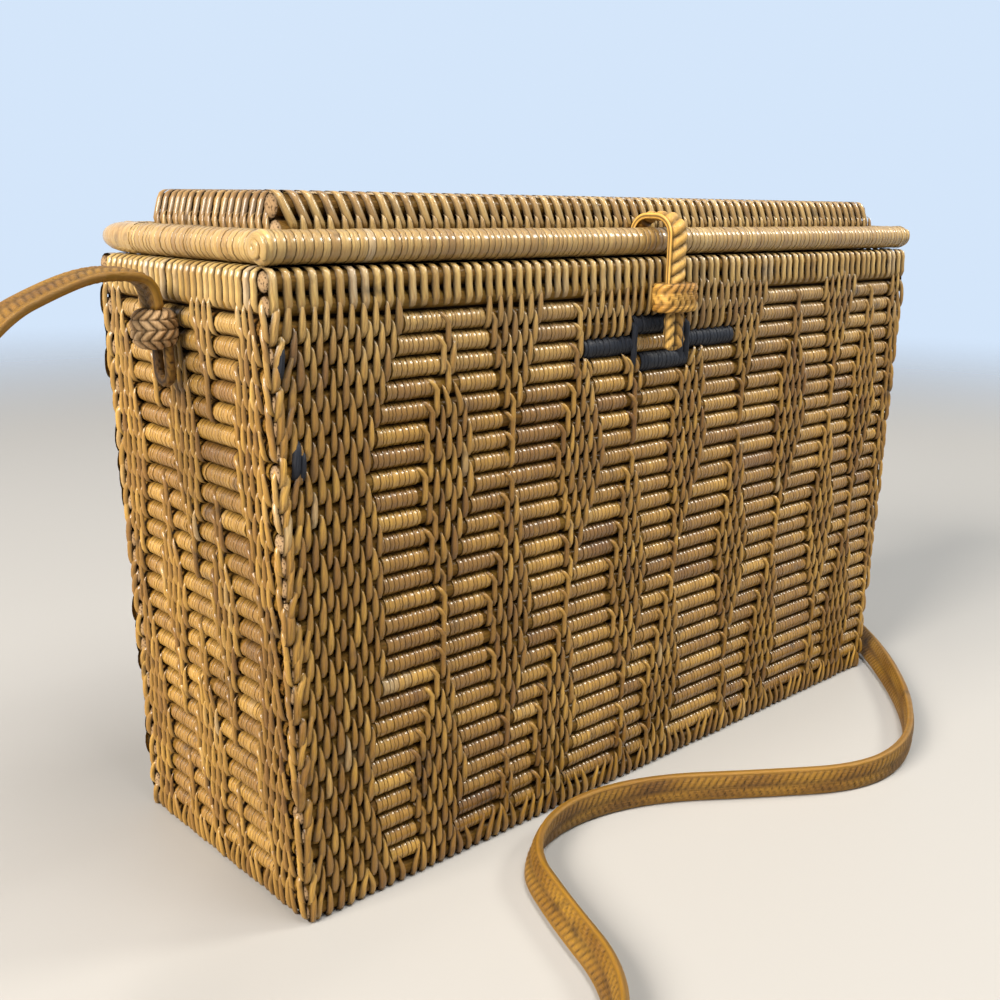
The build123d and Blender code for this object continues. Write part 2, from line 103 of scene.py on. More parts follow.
# One mesh from patches: each holds n sheets of a by b points, running down and to the right
def makePiece(name, patches, body, material, replaced=(), keepFree=False):
    points, quads, strand, depth, uv = [], [], [], [], []
    count = 0
    for patch in patches:
        grid = patch["points"]
        n, a, b = grid.shape[:3]
        index = count + np.arange(n * a * b).reshape(n, a, b)
        if patch.get("closeDown"):
            index = np.concatenate([index, index[:, :1]], axis=1)
        if patch.get("closeAcross"):
            index = np.concatenate([index, index[:, :, :1]], axis=2)
        corners = [index[:, :-1, :-1], index[:, 1:, :-1], index[:, 1:, 1:], index[:, :-1, 1:]]
        quads.append(np.stack(corners, -1).reshape(-1, 4))
        points.append(grid.reshape(-1, 3))
        strand.append(np.broadcast_to(patch["strand"], (n, a, b)).ravel())
        depth.append(np.broadcast_to(patch["depth"], (n, a, b)).ravel())
        uv.append(np.stack([np.broadcast_to(c, (n, a, b)).ravel() for c in patch["uv"]], -1))
        count += n * a * b
    quads = np.concatenate(quads)
    mesh = bpy.data.meshes.new(name)
    mesh.from_pydata(np.concatenate(points) * mm, [], quads)
    for label, values in (("strand", strand), ("depth", depth)):
        layer = mesh.attributes.new(label, "FLOAT", "POINT")
        layer.data.foreach_set("value", np.concatenate(values).astype(np.float32))
    layer = mesh.uv_layers.new(name="strandUV")
    layer.data.foreach_set("uv", np.concatenate(uv)[quads.ravel()].astype(np.float32).ravel())
    mesh.polygons.foreach_set("use_smooth", np.ones(len(quads), bool))
    mesh.update()
    mesh.materials.append(material)
    piece = bpy.data.objects.new(name, mesh)
    bpy.context.collection.objects.link(piece)
    if not keepFree:
        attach(piece, body)
    if replaced:
        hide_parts(*replaced)
    print(name, len(quads) * 2, "triangles")
    return piece


# Shader maths: a socket with operators, and one method for every other node
class Wire:
    tree = None

    def __init__(self, socket):
        self.socket = socket

    @classmethod
    def node(cls, kind, settings, sockets, out=0):
        made = cls.tree.nodes.new(kind)
        for key, value in settings.items():
            if key == "stops":
                ramp = made.color_ramp.elements
                while len(ramp) < len(value):
                    ramp.new(0.5)
                for element, (place, colour) in zip(ramp, value):
                    element.position, element.color = place, (*colour, 1)
            else:
                setattr(made, key, value)
        for key, value in sockets.items():
            if isinstance(value, Wire):
                cls.tree.links.new(value.socket, made.inputs[key])
            else:
                made.inputs[key].default_value = value
        return cls(made.outputs[out])

    def maths(self, operation, a, b):
        return Wire.node("ShaderNodeMath", {"operation": operation}, {0: a, 1: b})

    def __add__(self, other):
        return self.maths("ADD", self, other)

    def __sub__(self, other):
        return self.maths("SUBTRACT", self, other)

    def __rsub__(self, other):
        return self.maths("SUBTRACT", other, self)

    def __mul__(self, other):
        return self.maths("MULTIPLY", self, other)

    __radd__, __rmul__ = __add__, __mul__


def mixColour(factor, a, b):
    return Wire.node("ShaderNodeMix", {"data_type": "RGBA"}, {0: factor, 6: a, 7: b}, 2)


def attribute(name):
    return Wire.node("ShaderNodeAttribute", {"attribute_name": name}, {}, 2)


def ramp(factor, stops):
    return Wire.node("ShaderNodeValToRGB", {"stops": stops}, {0: factor})


def noise(vector, scale, detail=3.0):
    return Wire.node("ShaderNodeTexNoise", {}, {"Vector": vector, "Scale": scale, "Detail": detail})


def stretch(vector, scale):
    return Wire.node("ShaderNodeMapping", {}, {"Vector": vector, "Scale": scale})


# Split cane: a colour for each strand, fibres along it, and painted shade where it dips under its neighbours.
# A look with paler tones takes them on higher up, partly a paler, older cane and partly painted sheen from
# the light above, and one with a turn has dark lines of painted shade that far apart.
# A solid from the CAD has no strands of its own, so its fibres, tones and painted shade come from its place
surface = dict(solidFibre=(150.0, 2200.0, 2200.0), solidTone=140.0, solidBase=0.45, solidScale=0.5,
               solidDip=0.6, turnNoise=60.0, turnSway=1.5, turnBase=0.15, turnRise=0.85, turnSlope=8.0,
               strandShare=0.7, patchShare=0.6, toneShift=0.15, palerShare=0.85, stainScale=120.0,
               stainStops=[(0.62, (0, 0, 0)), (0.74, (1, 1, 1))], fibreRough=0.2, dipRough=0.25,
               bumpHeight=0.0002, coatRough=0.2)


def caneMaterial(name, look):
    material = bpy.data.materials.new(name)
    material.use_nodes = True
    Wire.tree = material.node_tree
    shader = Wire.tree.nodes["Principled BSDF"]
    place = Wire.node("ShaderNodeTexCoord", {}, {}, 3)
    patches = noise(place, look["patchScale"], 2.0)
    if look.get("solid"):
        along = stretch(place, surface["solidFibre"])
        strand = noise(place, surface["solidTone"])
        # On a solid, the depth value that sets the painted shade comes from noise
        depth = surface["solidBase"] + noise(along, surface["solidScale"]) * surface["solidDip"]
    else:
        strandUV = Wire.node("ShaderNodeUVMap", {"uv_map": "strandUV"}, {})
        along = stretch(strandUV, (look["fibreAcross"], look["fibreAlong"], 1))
        strand, depth = attribute("strand"), attribute("depth")
    fibre = ramp(noise(along, 1.0), look["fibreStops"])
    if "turn" in look:
        # Painted shade: dark lines one turn apart, for the creases between windings
        runs = Wire.node("ShaderNodeSeparateXYZ", {}, {0: strandUV}, 1)
        runs = runs + noise(place, surface["turnNoise"]) * surface["turnSway"]
        lines = Wire.node("ShaderNodeMath", {"operation": "PINGPONG"}, {0: runs, 1: look["turn"] / 2})
        lines = lines.maths("MINIMUM", lines * (surface["turnSlope"] / look["turn"]), 1.0)
        depth = depth * (surface["turnBase"] + surface["turnRise"] * lines)
    mixed = strand * surface["strandShare"] + patches * surface["patchShare"] - surface["toneShift"]
    tone = ramp(mixed, look["tones"])
    # Paler higher up: partly paler, older cane and partly painted sheen from the light above
    if "paler" in look:
        apart = Wire.node("ShaderNodeSeparateXYZ", {}, {0: place}, 2)
        span = {0: apart, 1: look["palerFrom"], 2: look["palerTo"], 3: 0.0, 4: surface["palerShare"]}
        upper = Wire.node("ShaderNodeMapRange", {}, span)
        tone = mixColour(upper, tone, ramp(mixed, look["paler"]))
    streaked = mixColour(fibre * look["streaks"], tone, look["streakColour"])
    stains = ramp(noise(place, surface["stainScale"], 4.0), surface["stainStops"])
    stained = mixColour(stains * look["stains"], streaked, look["stainAndShadeColour"])
    # Painted shade: where the depth value is low, the colour goes to the dark stain and shade colour
    colour = mixColour((1 - depth) * look["paintedShade"], stained, look["stainAndShadeColour"])
    rough = look["rough"] + fibre * surface["fibreRough"] + (1 - depth) * surface["dipRough"]
    relief = {"Strength": look["bump"], "Distance": surface["bumpHeight"], "Height": fibre}
    bump = Wire.node("ShaderNodeBump", {}, relief)
    coat = depth * look["coat"]
    for key, wire in (("Base Color", colour), ("Roughness", rough), ("Normal", bump), ("Coat Weight", coat)):
        Wire.tree.links.new(wire.socket, shader.inputs[key])
    shader.inputs["Coat Roughness"].default_value = surface["coatRough"]
    shader.inputs["Specular IOR Level"].default_value = look["gloss"]
    return material


def darker(stops, share):
    return [(place, tuple(share * c for c in colour)) for place, colour in stops]


honey = [(0.0, (0.08, 0.034, 0.006)), (0.2, (0.17, 0.082, 0.011)), (0.5, (0.275, 0.147, 0.019)),
         (0.8, (0.46, 0.268, 0.047)), (1.0, (0.38, 0.30, 0.18))]
warm = [(0.0, (0.06, 0.026, 0.003)), (0.3, (0.16, 0.077, 0.006)), (0.7, (0.23, 0.122, 0.012)),
        (1.0, (0.32, 0.187, 0.026))]
straw = [(0.0, (0.125, 0.076, 0.026)), (0.2, (0.26, 0.164, 0.057)), (0.5, (0.375, 0.254, 0.09)),
         (0.8, (0.49, 0.355, 0.14)), (1.0, (0.40, 0.32, 0.22))]
golden = [(0.0, (0.30, 0.145, 0.025)), (0.5, (0.56, 0.32, 0.072)), (1.0, (0.70, 0.45, 0.14))]
pale = [(0.0, (0.22, 0.12, 0.05)), (0.5, (0.43, 0.275, 0.135)), (1.0, (0.56, 0.40, 0.23))]
black = [(0.0, (0.004, 0.005, 0.008)), (0.7, (0.008, 0.010, 0.016)), (1.0, (0.02, 0.023, 0.03))]
pith = [(0.0, (0.13, 0.075, 0.035)), (0.5, (0.27, 0.17, 0.082)), (1.0, (0.36, 0.25, 0.14))]
caneLook = dict(fibreAcross=4.5, fibreAlong=0.22, fibreStops=[(0.36, (0, 0, 0)), (0.66, (1, 1, 1))],
                patchScale=38.0, tones=honey, streaks=0.55, streakColour=(0.215, 0.098, 0.020, 1),
                stains=0.6, paintedShade=0.98, stainAndShadeColour=(0.011, 0.005, 0.0016, 1), rough=0.34, bump=0.6,
                coat=0.75, gloss=0.18)
# Rods: a darker copy of the cane, painted shade in the gaps between the stitches
rodLook = dict(caneLook, tones=darker(honey, 0.42), rough=0.55, coat=0.1, gloss=0.08)
# Split cane, paler near the top: partly older cane, partly painted sheen
cane = caneMaterial("splitCane", dict(caneLook, paler=straw, palerFrom=0.13, palerTo=0.172))
rodCane = caneMaterial("rodCane", rodLook)
# Inside rods: plain rods with painted shade in lines one turn apart
woundLook = dict(caneLook, turn=2.2, tones=darker(honey, 0.9), rough=0.45, coat=0.1)
woundRods = caneMaterial("woundRods", woundLook)
plainCane = caneMaterial("plainCane", dict(rodLook, solid=True, tones=darker(honey, 0.9), paintedShade=0.6))
vineLook = dict(caneLook, tones=warm, patchScale=30.0, streaks=0.4, rough=0.42, coat=0.0, gloss=0.3)
braid = caneMaterial("braidedVine", vineLook)
goldenLook = dict(caneLook, tones=golden, streaks=0.3, stains=0.3, rough=0.36, coat=0.1)
closureBraid = caneMaterial("closureBraid", goldenLook)
knotBraid = caneMaterial("knotBraid", dict(caneLook, tones=pale, streaks=0.4, rough=0.45, coat=0.0))
dyedLook = dict(caneLook, tones=black, streaks=0.2, streakColour=(0.02, 0.023, 0.03, 1), stains=0.0,
                stainAndShadeColour=(0.002, 0.002, 0.004, 1), rough=0.45, coat=0.0, gloss=0.25)
dyed = caneMaterial("dyedCane", dyedLook)
pithLook = dict(caneLook, tones=pith, patchScale=700.0, fibreAcross=3.6, fibreAlong=3.6, streaks=0.8,
                fibreStops=[(0.54, (0, 0, 0)), (0.62, (1, 1, 1))], streakColour=(0.035, 0.02, 0.009, 1),
                rough=0.6, coat=0.0)
pithEnds = caneMaterial("pithEnds", pithLook)
print("materials made")

# Camera at the photograph's place and angle
view = dict(place=(-0.2788, -0.2684, 0.1824), yaw=42.97, pitchDown=14.42, roll=0.91, lens=41.8, sensor=36.0)
yaw, tilt, roll = (float(np.radians(view[k])) for k in ("yaw", "pitchDown", "roll"))
ahead = Vector((np.sin(yaw) * np.cos(tilt), np.cos(yaw) * np.cos(tilt), -np.sin(tilt)))
level = Vector((np.cos(yaw), -np.sin(yaw), 0))
raised = level.cross(ahead)
camRight = level * float(np.cos(roll)) + raised * float(np.sin(roll))
camUp = camRight.cross(ahead)
camera = bpy.data.objects.new("camera", bpy.data.cameras.new("camera"))
camera.data.lens = view["lens"]
camera.data.sensor_width = view["sensor"]
camera.data.clip_start = 0.01
turn = Matrix((camRight, camUp, -ahead)).transposed().to_4x4()
camera.matrix_world = Matrix.Translation(view["place"]) @ turn
bpy.context.collection.objects.link(camera)
bpy.context.scene.camera = camera

# Floor and light: the end wall looks to the lamp, the front takes its shine from the right.
# The floor fades out far from the object
stage = dict(floor=(0.31, 0.302, 0.29, 1), floorRough=0.6, half=3, sky=(0.66, 0.79, 0.96, 1),
             fill=(0.085, 0.086, 0.088, 1), fadeFrom=0.6, fadeTo=1.5, aim=(0, 0, 0.09))
floorMesh = bpy.data.meshes.new("floor")
floorCorners = [(x * stage["half"], y * stage["half"], 0) for x, y in ((-1, -1), (1, -1), (1, 1), (-1, 1))]
floorMesh.from_pydata(floorCorners, [], [(0, 1, 2, 3)])
floor = bpy.data.objects.new("floor", floorMesh)
bpy.context.collection.objects.link(floor)
floorMaterial = bpy.data.materials.new("floor")
floorMaterial.use_nodes = True
Wire.tree = floorMaterial.node_tree
floorShader = Wire.tree.nodes["Principled BSDF"]
floorShader.inputs["Base Color"].default_value = stage["floor"]
floorShader.inputs["Roughness"].default_value = stage["floorRough"]
floorPlace = Wire.node("ShaderNodeTexCoord", {}, {}, 3)
away = Wire.node("ShaderNodeVectorMath", {"operation": "LENGTH"}, {0: floorPlace}, 1)
fade = Wire.node("ShaderNodeMapRange", {"interpolation_type": "SMOOTHSTEP"},
                 {0: away, 1: stage["fadeFrom"], 2: stage["fadeTo"], 3: 1.0, 4: 0.0})
Wire.tree.links.new(fade.socket, floorShader.inputs["Alpha"])
floorMesh.materials.append(floorMaterial)
world = bpy.context.scene.world or bpy.data.worlds.new("world")
bpy.context.scene.world = world
world.use_nodes = True
Wire.tree = world.node_tree
skyNode = Wire.tree.nodes["Background"]
rays = Wire.tree.nodes.new("ShaderNodeLightPath").outputs
seen = Wire(rays["Is Camera Ray"]) + Wire(rays["Is Glossy Ray"]) + Wire(rays["Is Transmission Ray"])
backdrop = mixColour(seen.maths("MINIMUM", seen, 1.0), stage["fill"], stage["sky"])
Wire.tree.links.new(backdrop.socket, skyNode.inputs["Color"])
lamps = [
    dict(name="window", place=(-2.0, -0.15, 1.25), size=1.05, power=146.0, colour=(1.0, 0.92, 0.82)),
    dict(name="front", place=(-0.35, -1.3, 0.8), size=0.5, power=2.2, colour=(1.0, 0.96, 0.86)),
    dict(name="shine", place=(1.0, -0.6, 1.0), size=0.3, power=14.0, colour=(1.0, 0.96, 0.86)),
    dict(name="top", place=(0.0, -0.42, 1.3), size=0.5, power=16.0, colour=(1.0, 0.98, 0.95)),
]
for lamp in lamps:
    data = bpy.data.lights.new(lamp["name"], "AREA")
    data.size, data.energy, data.color = lamp["size"], lamp["power"], lamp["colour"]
    light = bpy.data.objects.new(lamp["name"], data)
    light.location = lamp["place"]
    towards = Vector(stage["aim"]) - Vector(lamp["place"])
    light.rotation_euler = towards.to_track_quat("-Z", "Y").to_euler()
    bpy.context.collection.objects.link(light)
bpy.context.scene.view_settings.view_transform = "Standard"
print("camera, floor and light set")


# Windings: bands round a rod. A band runs from start to start + width; a point at share f across it and
# angle t round the rod lies at radius + lift(f), in the direction (cos t) out + (sin t) up, and further
# along by slant * t / (2 pi)
bandShare = np.array([0.0, 0.04, 0.14, 0.86, 0.96, 1.0])
bandLift = np.array([-0.34, -0.06, 0.01, 0.01, -0.06, -0.34])
# Painted shade across a band: dark at its edges, where it meets the next band
bandDepth = np.array([0.0, 0.55, 1.0, 1.0, 0.55, 0.0])
bandWear = dict(unevenness=0.05, toneSpread=0.07)


def windings(wall, start, width, high, radius, centre, angles, slant=0.0, tone=0.5):
    start, width, high, radius, tone = perSheet(start, width, high, radius, tone)
    t = np.radians(angles)[:, None]
    reach = radius + bandLift + rng.normal(0, bandWear["unevenness"], start.shape)
    across = start + width * bandShare + slant * t / (2 * np.pi)
    points = onWall(wall, across, high + reach * np.sin(t), centre + reach * np.cos(t))
    # Painted shade: also darker round the roll where it turns into the creases above and below
    shade = bandDepth * (0.05 + 0.95 * smooth(1.7 * np.cos(t) - 0.25))
    strand = np.clip(tone + rng.normal(0, bandWear["toneSpread"], start.shape), 0, 1)
    return dict(points=points, strand=strand, depth=shade, uv=(bandShare, radius * t + start))


# Stitches: strands down a wall. At share v from tip to foot and t across, the point lies at
# tip + (foot - tip) * smooth(ease * v) + t * width * girth(v) / 2 and stands out by
# bulge(v) - t * t * girth(v). A stitch that comes over an edge has its own fall of height with v
overEdge = dict(v=[0, 0.14, 0.25, 0.34, 0.46, 0.62, 0.80, 0.92, 1.0],
                fall=[0.03, 0.0, 0.02, 0.09, 0.25, 0.48, 0.75, 0.91, 1.0],
                girth=[0.8, 0.9, 0.95, 0.95, 0.95, 1.0, 1.0, 0.92, 0.66])
stitchForms = {
    "long": dict(v=[0, 0.08, 0.18, 0.30, 0.44, 0.60, 0.76, 0.90, 1.0],
                 girth=[0.12, 0.36, 0.57, 0.74, 0.87, 0.96, 1.0, 0.97, 0.76],
                 bulge=[-0.9, 0.2, 0.65, 0.85, 0.95, 0.95, 0.75, 0.1, -1.8]),
    "hook": dict(v=[0, 0.06, 0.14, 0.28, 0.46, 0.64, 0.80, 0.92, 1.0],
                 girth=[0.75, 0.95, 1.0, 0.92, 0.88, 0.95, 1.0, 0.92, 0.70],
                 bulge=[-1.5, 0.15, 0.75, 0.85, 0.72, 0.80, 0.70, 0.0, -1.8]),
    "over": dict(overEdge, bulge=[-5.2, -3.2, -1.3, 0.1, 0.55, 0.55, 0.75, 0.1, -1.8]),
    "crown": dict(overEdge, bulge=[-6.2, -4.4, -2.7, -1.5, -0.7, 0.0, 0.75, 0.4, -1.4]),
    "lash": dict(v=[0, 0.08, 0.18, 0.32, 0.5, 0.68, 0.82, 0.92, 1.0],
                 girth=[0.55, 0.8, 0.95, 1.0, 1.0, 1.0, 0.95, 0.85, 0.6],
                 bulge=[-1.6, -0.1, 0.6, 0.95, 1.0, 0.95, 0.6, -0.1, -1.8]),
}
crossShare = np.array([-1, -0.6, 0, 0.6, 1.0])
# Unevenness and tone of the stitches, and how much painted shade darkens their edges
stitchWearAndShade = dict(unevenness=0.08, toneSpread=0.22, lowest=0.2, edgeShade=0.9, edgePower=2.6)


def stitches(wall, foot, tip, low, top, width, form, rise=0.0, ease=1.5, tone=0.5):
    shape = {k: np.array(v)[:, None] for k, v in stitchForms[form].items()}
    foot, tip, low, top, width = perSheet(foot, tip, low, top, width)
    t, v = crossShare, shape["v"]
    across = tip + (foot - tip) * shape.get("fall", smooth(ease * v)) + t * width * shape["girth"] / 2
    uneven = rng.normal(0, stitchWearAndShade["unevenness"], foot.shape)
    depth = shape["bulge"] - t * t * shape["girth"] + rise + uneven
    high = np.maximum(top + (low - top) * shape.get("fall", v), stitchWearAndShade["lowest"])
    # Painted shade: darker where the stitch dips under, and towards its edges
    bared = np.maximum(smooth((shape["bulge"] + 1.2) / 1.6), (v < 0.5) * ("fall" in shape))
    shade = bared * (1 - stitchWearAndShade["edgeShade"] * np.abs(t) ** stitchWearAndShade["edgePower"])
    strand = tones(foot.shape, tone, stitchWearAndShade["toneSpread"])
    points = onWall(wall, across, high, depth)
    return dict(points=points, strand=strand, depth=shade, uv=(t / 2, high))


# Angles round a rod, from the inside over the top, the outside and the bottom
def roundTurn(sides):
    return np.linspace(np.pi, -np.pi, sides, endpoint=False)[:, None]


# Rods: plain round sticks along a wall, from one end to the other
def rods(wall, left, right, high, radius, centre, sides=12):
    left, right, high, centre = perSheet(left, right, high, centre)
    t = roundTurn(sides)
    across = left + (right - left) * np.linspace(0, 1, 3)
    points = onWall(wall, across, high + radius * np.sin(t), centre + radius * np.cos(t))
    # Painted shade: darker on the top and bottom of each rod, where the rows meet
    shade = 0.1 + 0.8 * smooth(1.5 * np.abs(np.cos(t)) - 0.2)
    return dict(points=points, strand=tones(left.shape), depth=shade, closeDown=True,
                uv=(radius * t / 3, across))


# Rod ends: discs that close the rods, radius * share from the rim in, bowed out by a little
def rodEnds(wall, at, high, radius, centre, side, sides=12):
    at, high, centre = perSheet(at, high, centre)
    t = roundTurn(sides) * side
    share = np.array([1.0, 0.9, 0.55, 0.02])
    bow = side * 0.6 * (1 - share ** 3)
    y, z = radius * share * np.cos(t), radius * share * np.sin(t)
    points = onWall(wall, at + bow, high + z, centre + y)
    return dict(points=points, strand=tones(at.shape, 0.5, 0.25), depth=0.95 - 0.75 * share ** 6,
                uv=(share * np.cos(t), share * np.sin(t)), closeDown=True)


# Dark sheet behind the rods, so that no light passes between them; its dark colour is painted shade
def lining(wall, topHalf, lowHalf, low, high, depth):
    across = np.array([topHalf, lowHalf])[:, None] * np.array([-1, 1])
    up = np.array([high, low])[:, None]
    return dict(points=onWall(wall, across, up, depth)[None], strand=0.3, depth=0.1, uv=(across, up))


# Width of a stitched field: a zigzag between wide, at the rows named, and narrow, between them
def zigzag(row, widest, period, narrow, wide):
    turns = (row - widest) / period
    return wide - (wide - narrow) * 2 * np.abs(turns - np.round(turns))


def rowHeight(row, height):
    return height - (row + 0.5) * height / box["rows"]


# Millimetres: the least span, the gap that is closed, and the least parts that a cut leaves
spanRules = dict(least=1.6, join=2.5, leastField=2.0, leastRoll=1.2)


# Spans that are long enough, in order, those that nearly meet made one
def joinSpans(spans):
    joined = []
    for left, right in sorted(spans):
        if right - left < spanRules["least"]:
            continue
        if joined and left < joined[-1][1] + spanRules["join"]:
            joined[-1] = (joined[-1][0], max(right, joined[-1][1]))
        else:
            joined.append((left, right))
    return joined


# What is left of spans outside left to right, without the parts that are too short
def cutOut(spans, left, right, least):
    parts = [((a, min(b, left)), (max(a, right), b)) for a, b in spans]
    return [part for pair in parts for part in pair if part[1] - part[0] > least]


# Half the length of a long wall at a row: it narrows to the base
def halfAt(row):
    share = rowHeight(row, box["height"]) / box["height"]
    return box["halfBase"] + (box["halfTop"] - box["halfBase"]) * share


# Rows of the walls: stitched fields as (left, right) spans, clear of the lashing at the corners
corner = dict(clear=1.6, width=2.4, side=40.8, inset=1.0, share=0.94, spread=0.35, lean=(0.2, 2.0), lift=0.5,
              tall=(1.0, 1.7), wide=(0.75, 1.1), drop=0.6, tone=0.6)
frontWeave = dict(chains=(52.6, 75.6, 103.0, 126.0, 152.4, 179.8, 209.5, 235.0, 257.0), driftFrom=9.7,
                  drift=(0.17, 0, 0.5, 0, 0.46, 0, 0.5, 0, 0.3), narrow=0.3, wide=10.8, period=15.4,
                  widest=2.0, columnRows=(0, 2, 4, 6.3, 8.5, 9.5, 12, 15, 17.8, 20, 23.3, 26, 28.3),
                  columnEdge=(41, 39, 35, 31.2, 28.3, 29.3, 31.2, 32.3, 33, 30, 27, 30, 34),
                  rightRows=(0, 8.5, 17, 25, 29), rightEdge=(13, 8.5, 12.5, 8.5, 11), band=(-40.5, 45.0),
                  bandRows=3)
endWeave = dict(period=15.4, centreAt=-1.5, sideAt=(-15.0, 12.3), centreWide=8.6, sideWide=7.0, centreRow=8.7,
                sideRow=1.0, narrow=-1.0, backColumn=(6.0, 14.5), frontColumn=(8.6, 15.5))
backWeave = dict(period=15.4, widest=1.2, narrow=20.0, wide=28.0)
motif = {3: [(-16.0, 4.0, "dyed")], 4: [(-37.0, -15.0, "dyed"), (-15.0, 9.0, "catch"), (9.0, 33.0, "dyed")],
         5: [(-12.0, 10.0, "dyed")]}


def frontSpans(row):
    plan, half = frontWeave, halfAt(row)
    clear = half - corner["clear"]
    edge = np.interp(row, plan["columnRows"], plan["columnEdge"])
    spans = [(-clear, -box["halfTop"] + edge)]
    for k, (place, drift) in enumerate(zip(plan["chains"], plan["drift"])):
        middle = place - box["halfTop"] - drift * max(0, row - plan["driftFrom"])
        widest = plan["widest"] + (plan["period"] / 2 if k % 2 == 0 else 0)
        reach = zigzag(row, widest, plan["period"], plan["narrow"], plan["wide"])
        spans.append((middle - reach, middle + reach))
    edge = np.interp(row, plan["rightRows"], plan["rightEdge"])
    spans.append((box["halfTop"] - edge, clear))
    if row <= plan["bandRows"]:
        spans.append(plan["band"])
    if row >= box["rows"] - 1:
        spans = [(-clear, clear)]
    for left, right, _ in motif.get(row, []):
        spans = cutOut(joinSpans(spans), left, right, spanRules["leastField"])
    return half, joinSpans(spans)


def endSpans(row):
    plan, half = endWeave, box["innerDepth"]
    centre = zigzag(row, plan["centreRow"], plan["period"], plan["narrow"], plan["centreWide"])
    side = zigzag(row, plan["sideRow"], plan["period"], plan["narrow"], plan["sideWide"])
    spans = [(-half, -half + zigzag(row, plan["centreRow"], plan["period"], *plan["backColumn"])),
             (plan["centreAt"] - centre, plan["centreAt"] + centre),
             (half - zigzag(row, plan["centreRow"], plan["period"], *plan["frontColumn"]), half)]
    spans += [(at - side, at + side) for at in plan["sideAt"]]
    if row >= box["rows"] - 1:
        spans = [(-half, half)]
    return half, joinSpans(spans)


def backSpans(row):
    plan, half = backWeave, halfAt(row)
    clear = half - corner["clear"]
    edge = box["halfTop"] - zigzag(row, plan["widest"], plan["period"], plan["narrow"], plan["wide"])
    spans = [(-clear, -edge), (edge, clear)]
    if row >= box["rows"] - 1:
        spans = [(-clear, clear)]
    return half, spans


# A woven wall: rods right across, windings between the stitched spans and stitches in them
weave = dict(rodRadius=2.45, rodCentre=-2.75, rodInset=0.6, rollRadius=2.8, rollOverlap=0.4, dyedLift=0.35,
             liningDepth=-2.8, liningInset=1.0, insideShift=0.25, footSpread=0.16, footDrop=0.62,
             widthSpread=0.10, widthRange=(0.75, 1.2), reach=(1.12, 1.42), shortReach=0.62, markReach=2,
             hookLean=2.0, hookDrop=0.56, hookReach=1.46, hookWidth=0.9, hookEase=3.2, borderSpread=0.15,
             borderLean=0.2, borderRows=1.9, borderRise=0.35, borderTone=0.82)
frontCut = dict(pitch=3.5, width=2.3, band=1.65, borderPitch=3.6, borderWidth=2.5, behind=0.0)
endCut = dict(pitch=2.8, width=1.95, band=1.4, borderPitch=3.0, borderWidth=2.4, behind=3.6)
backCut = dict(frontCut, band=2.1)
# Shares of the pitch that place feet and tips, the most that a tip leans, and the most that a width strays
spacing = dict(margin=0.3, neighbours=1.5, apart=1.6, gap=1.7, evenShare=0.25, lean=2.0, mostSpread=2)


# Feet of a row's stitches: between those of the row above, with more at the ends where there is room.
# They are then moved a part of the way to an even spacing
def placeFeet(left, right, above, pitch):
    margin = spacing["margin"] * pitch
    between = ((above[1:] + above[:-1]) / 2)[np.diff(above) < spacing["neighbours"] * pitch]
    feet = between[(between > left + margin) & (between < right - margin)]
    if not len(feet) or np.any(np.diff(feet) > spacing["apart"] * pitch):
        count = max(1, int(round((right - left) / pitch)))
        return left + (np.arange(count) + 0.5) * (right - left) / count
    before = np.arange(feet[0] - pitch, left + margin, -pitch)[::-1]
    after = np.arange(feet[-1] + pitch, right - margin, pitch)
    feet = np.concatenate([before, feet, after])
    even = left + (np.arange(len(feet)) + 0.5) * (right - left) / len(feet)
    return (1 - spacing["evenShare"]) * feet + spacing["evenShare"] * even


# Tips lean into the gap between the stitches of the row above
def leanTips(feet, above, pitch):
    slot = np.searchsorted(above, feet)
    before = above[np.clip(slot - 1, 0, len(above) - 1)]
    after = above[np.clip(slot, 0, len(above) - 1)]
    nearest = np.where(feet - before < after - feet, before + pitch / 2, after - pitch / 2)
    target = np.where(after - before < spacing["gap"] * pitch, (before + after) / 2, nearest)
    return feet + np.clip(target - feet, -spacing["lean"], spacing["lean"])


# Bands of uneven width that fill left to right, with one tone for all of them
def cutBands(left, right, width, high, kind, spread=0.22):
    count = max(2, int(round((right - left) / width)))
    widths = 1 + spread * rng.normal(0, 1, count).clip(-spacing["mostSpread"], spacing["mostSpread"])
    widths *= (right - left) / widths.sum()
    starts = left + np.concatenate([[0], np.cumsum(widths)[:-1]])
    tone = float(tones(1)[0])
    return [(start, width, high, kind, tone) for start, width in zip(starts, widths)]


# Starts, widths, heights and tones of bands
def bandColumns(bands):
    return np.array([(*band[:3], band[4]) for band in bands], float).T


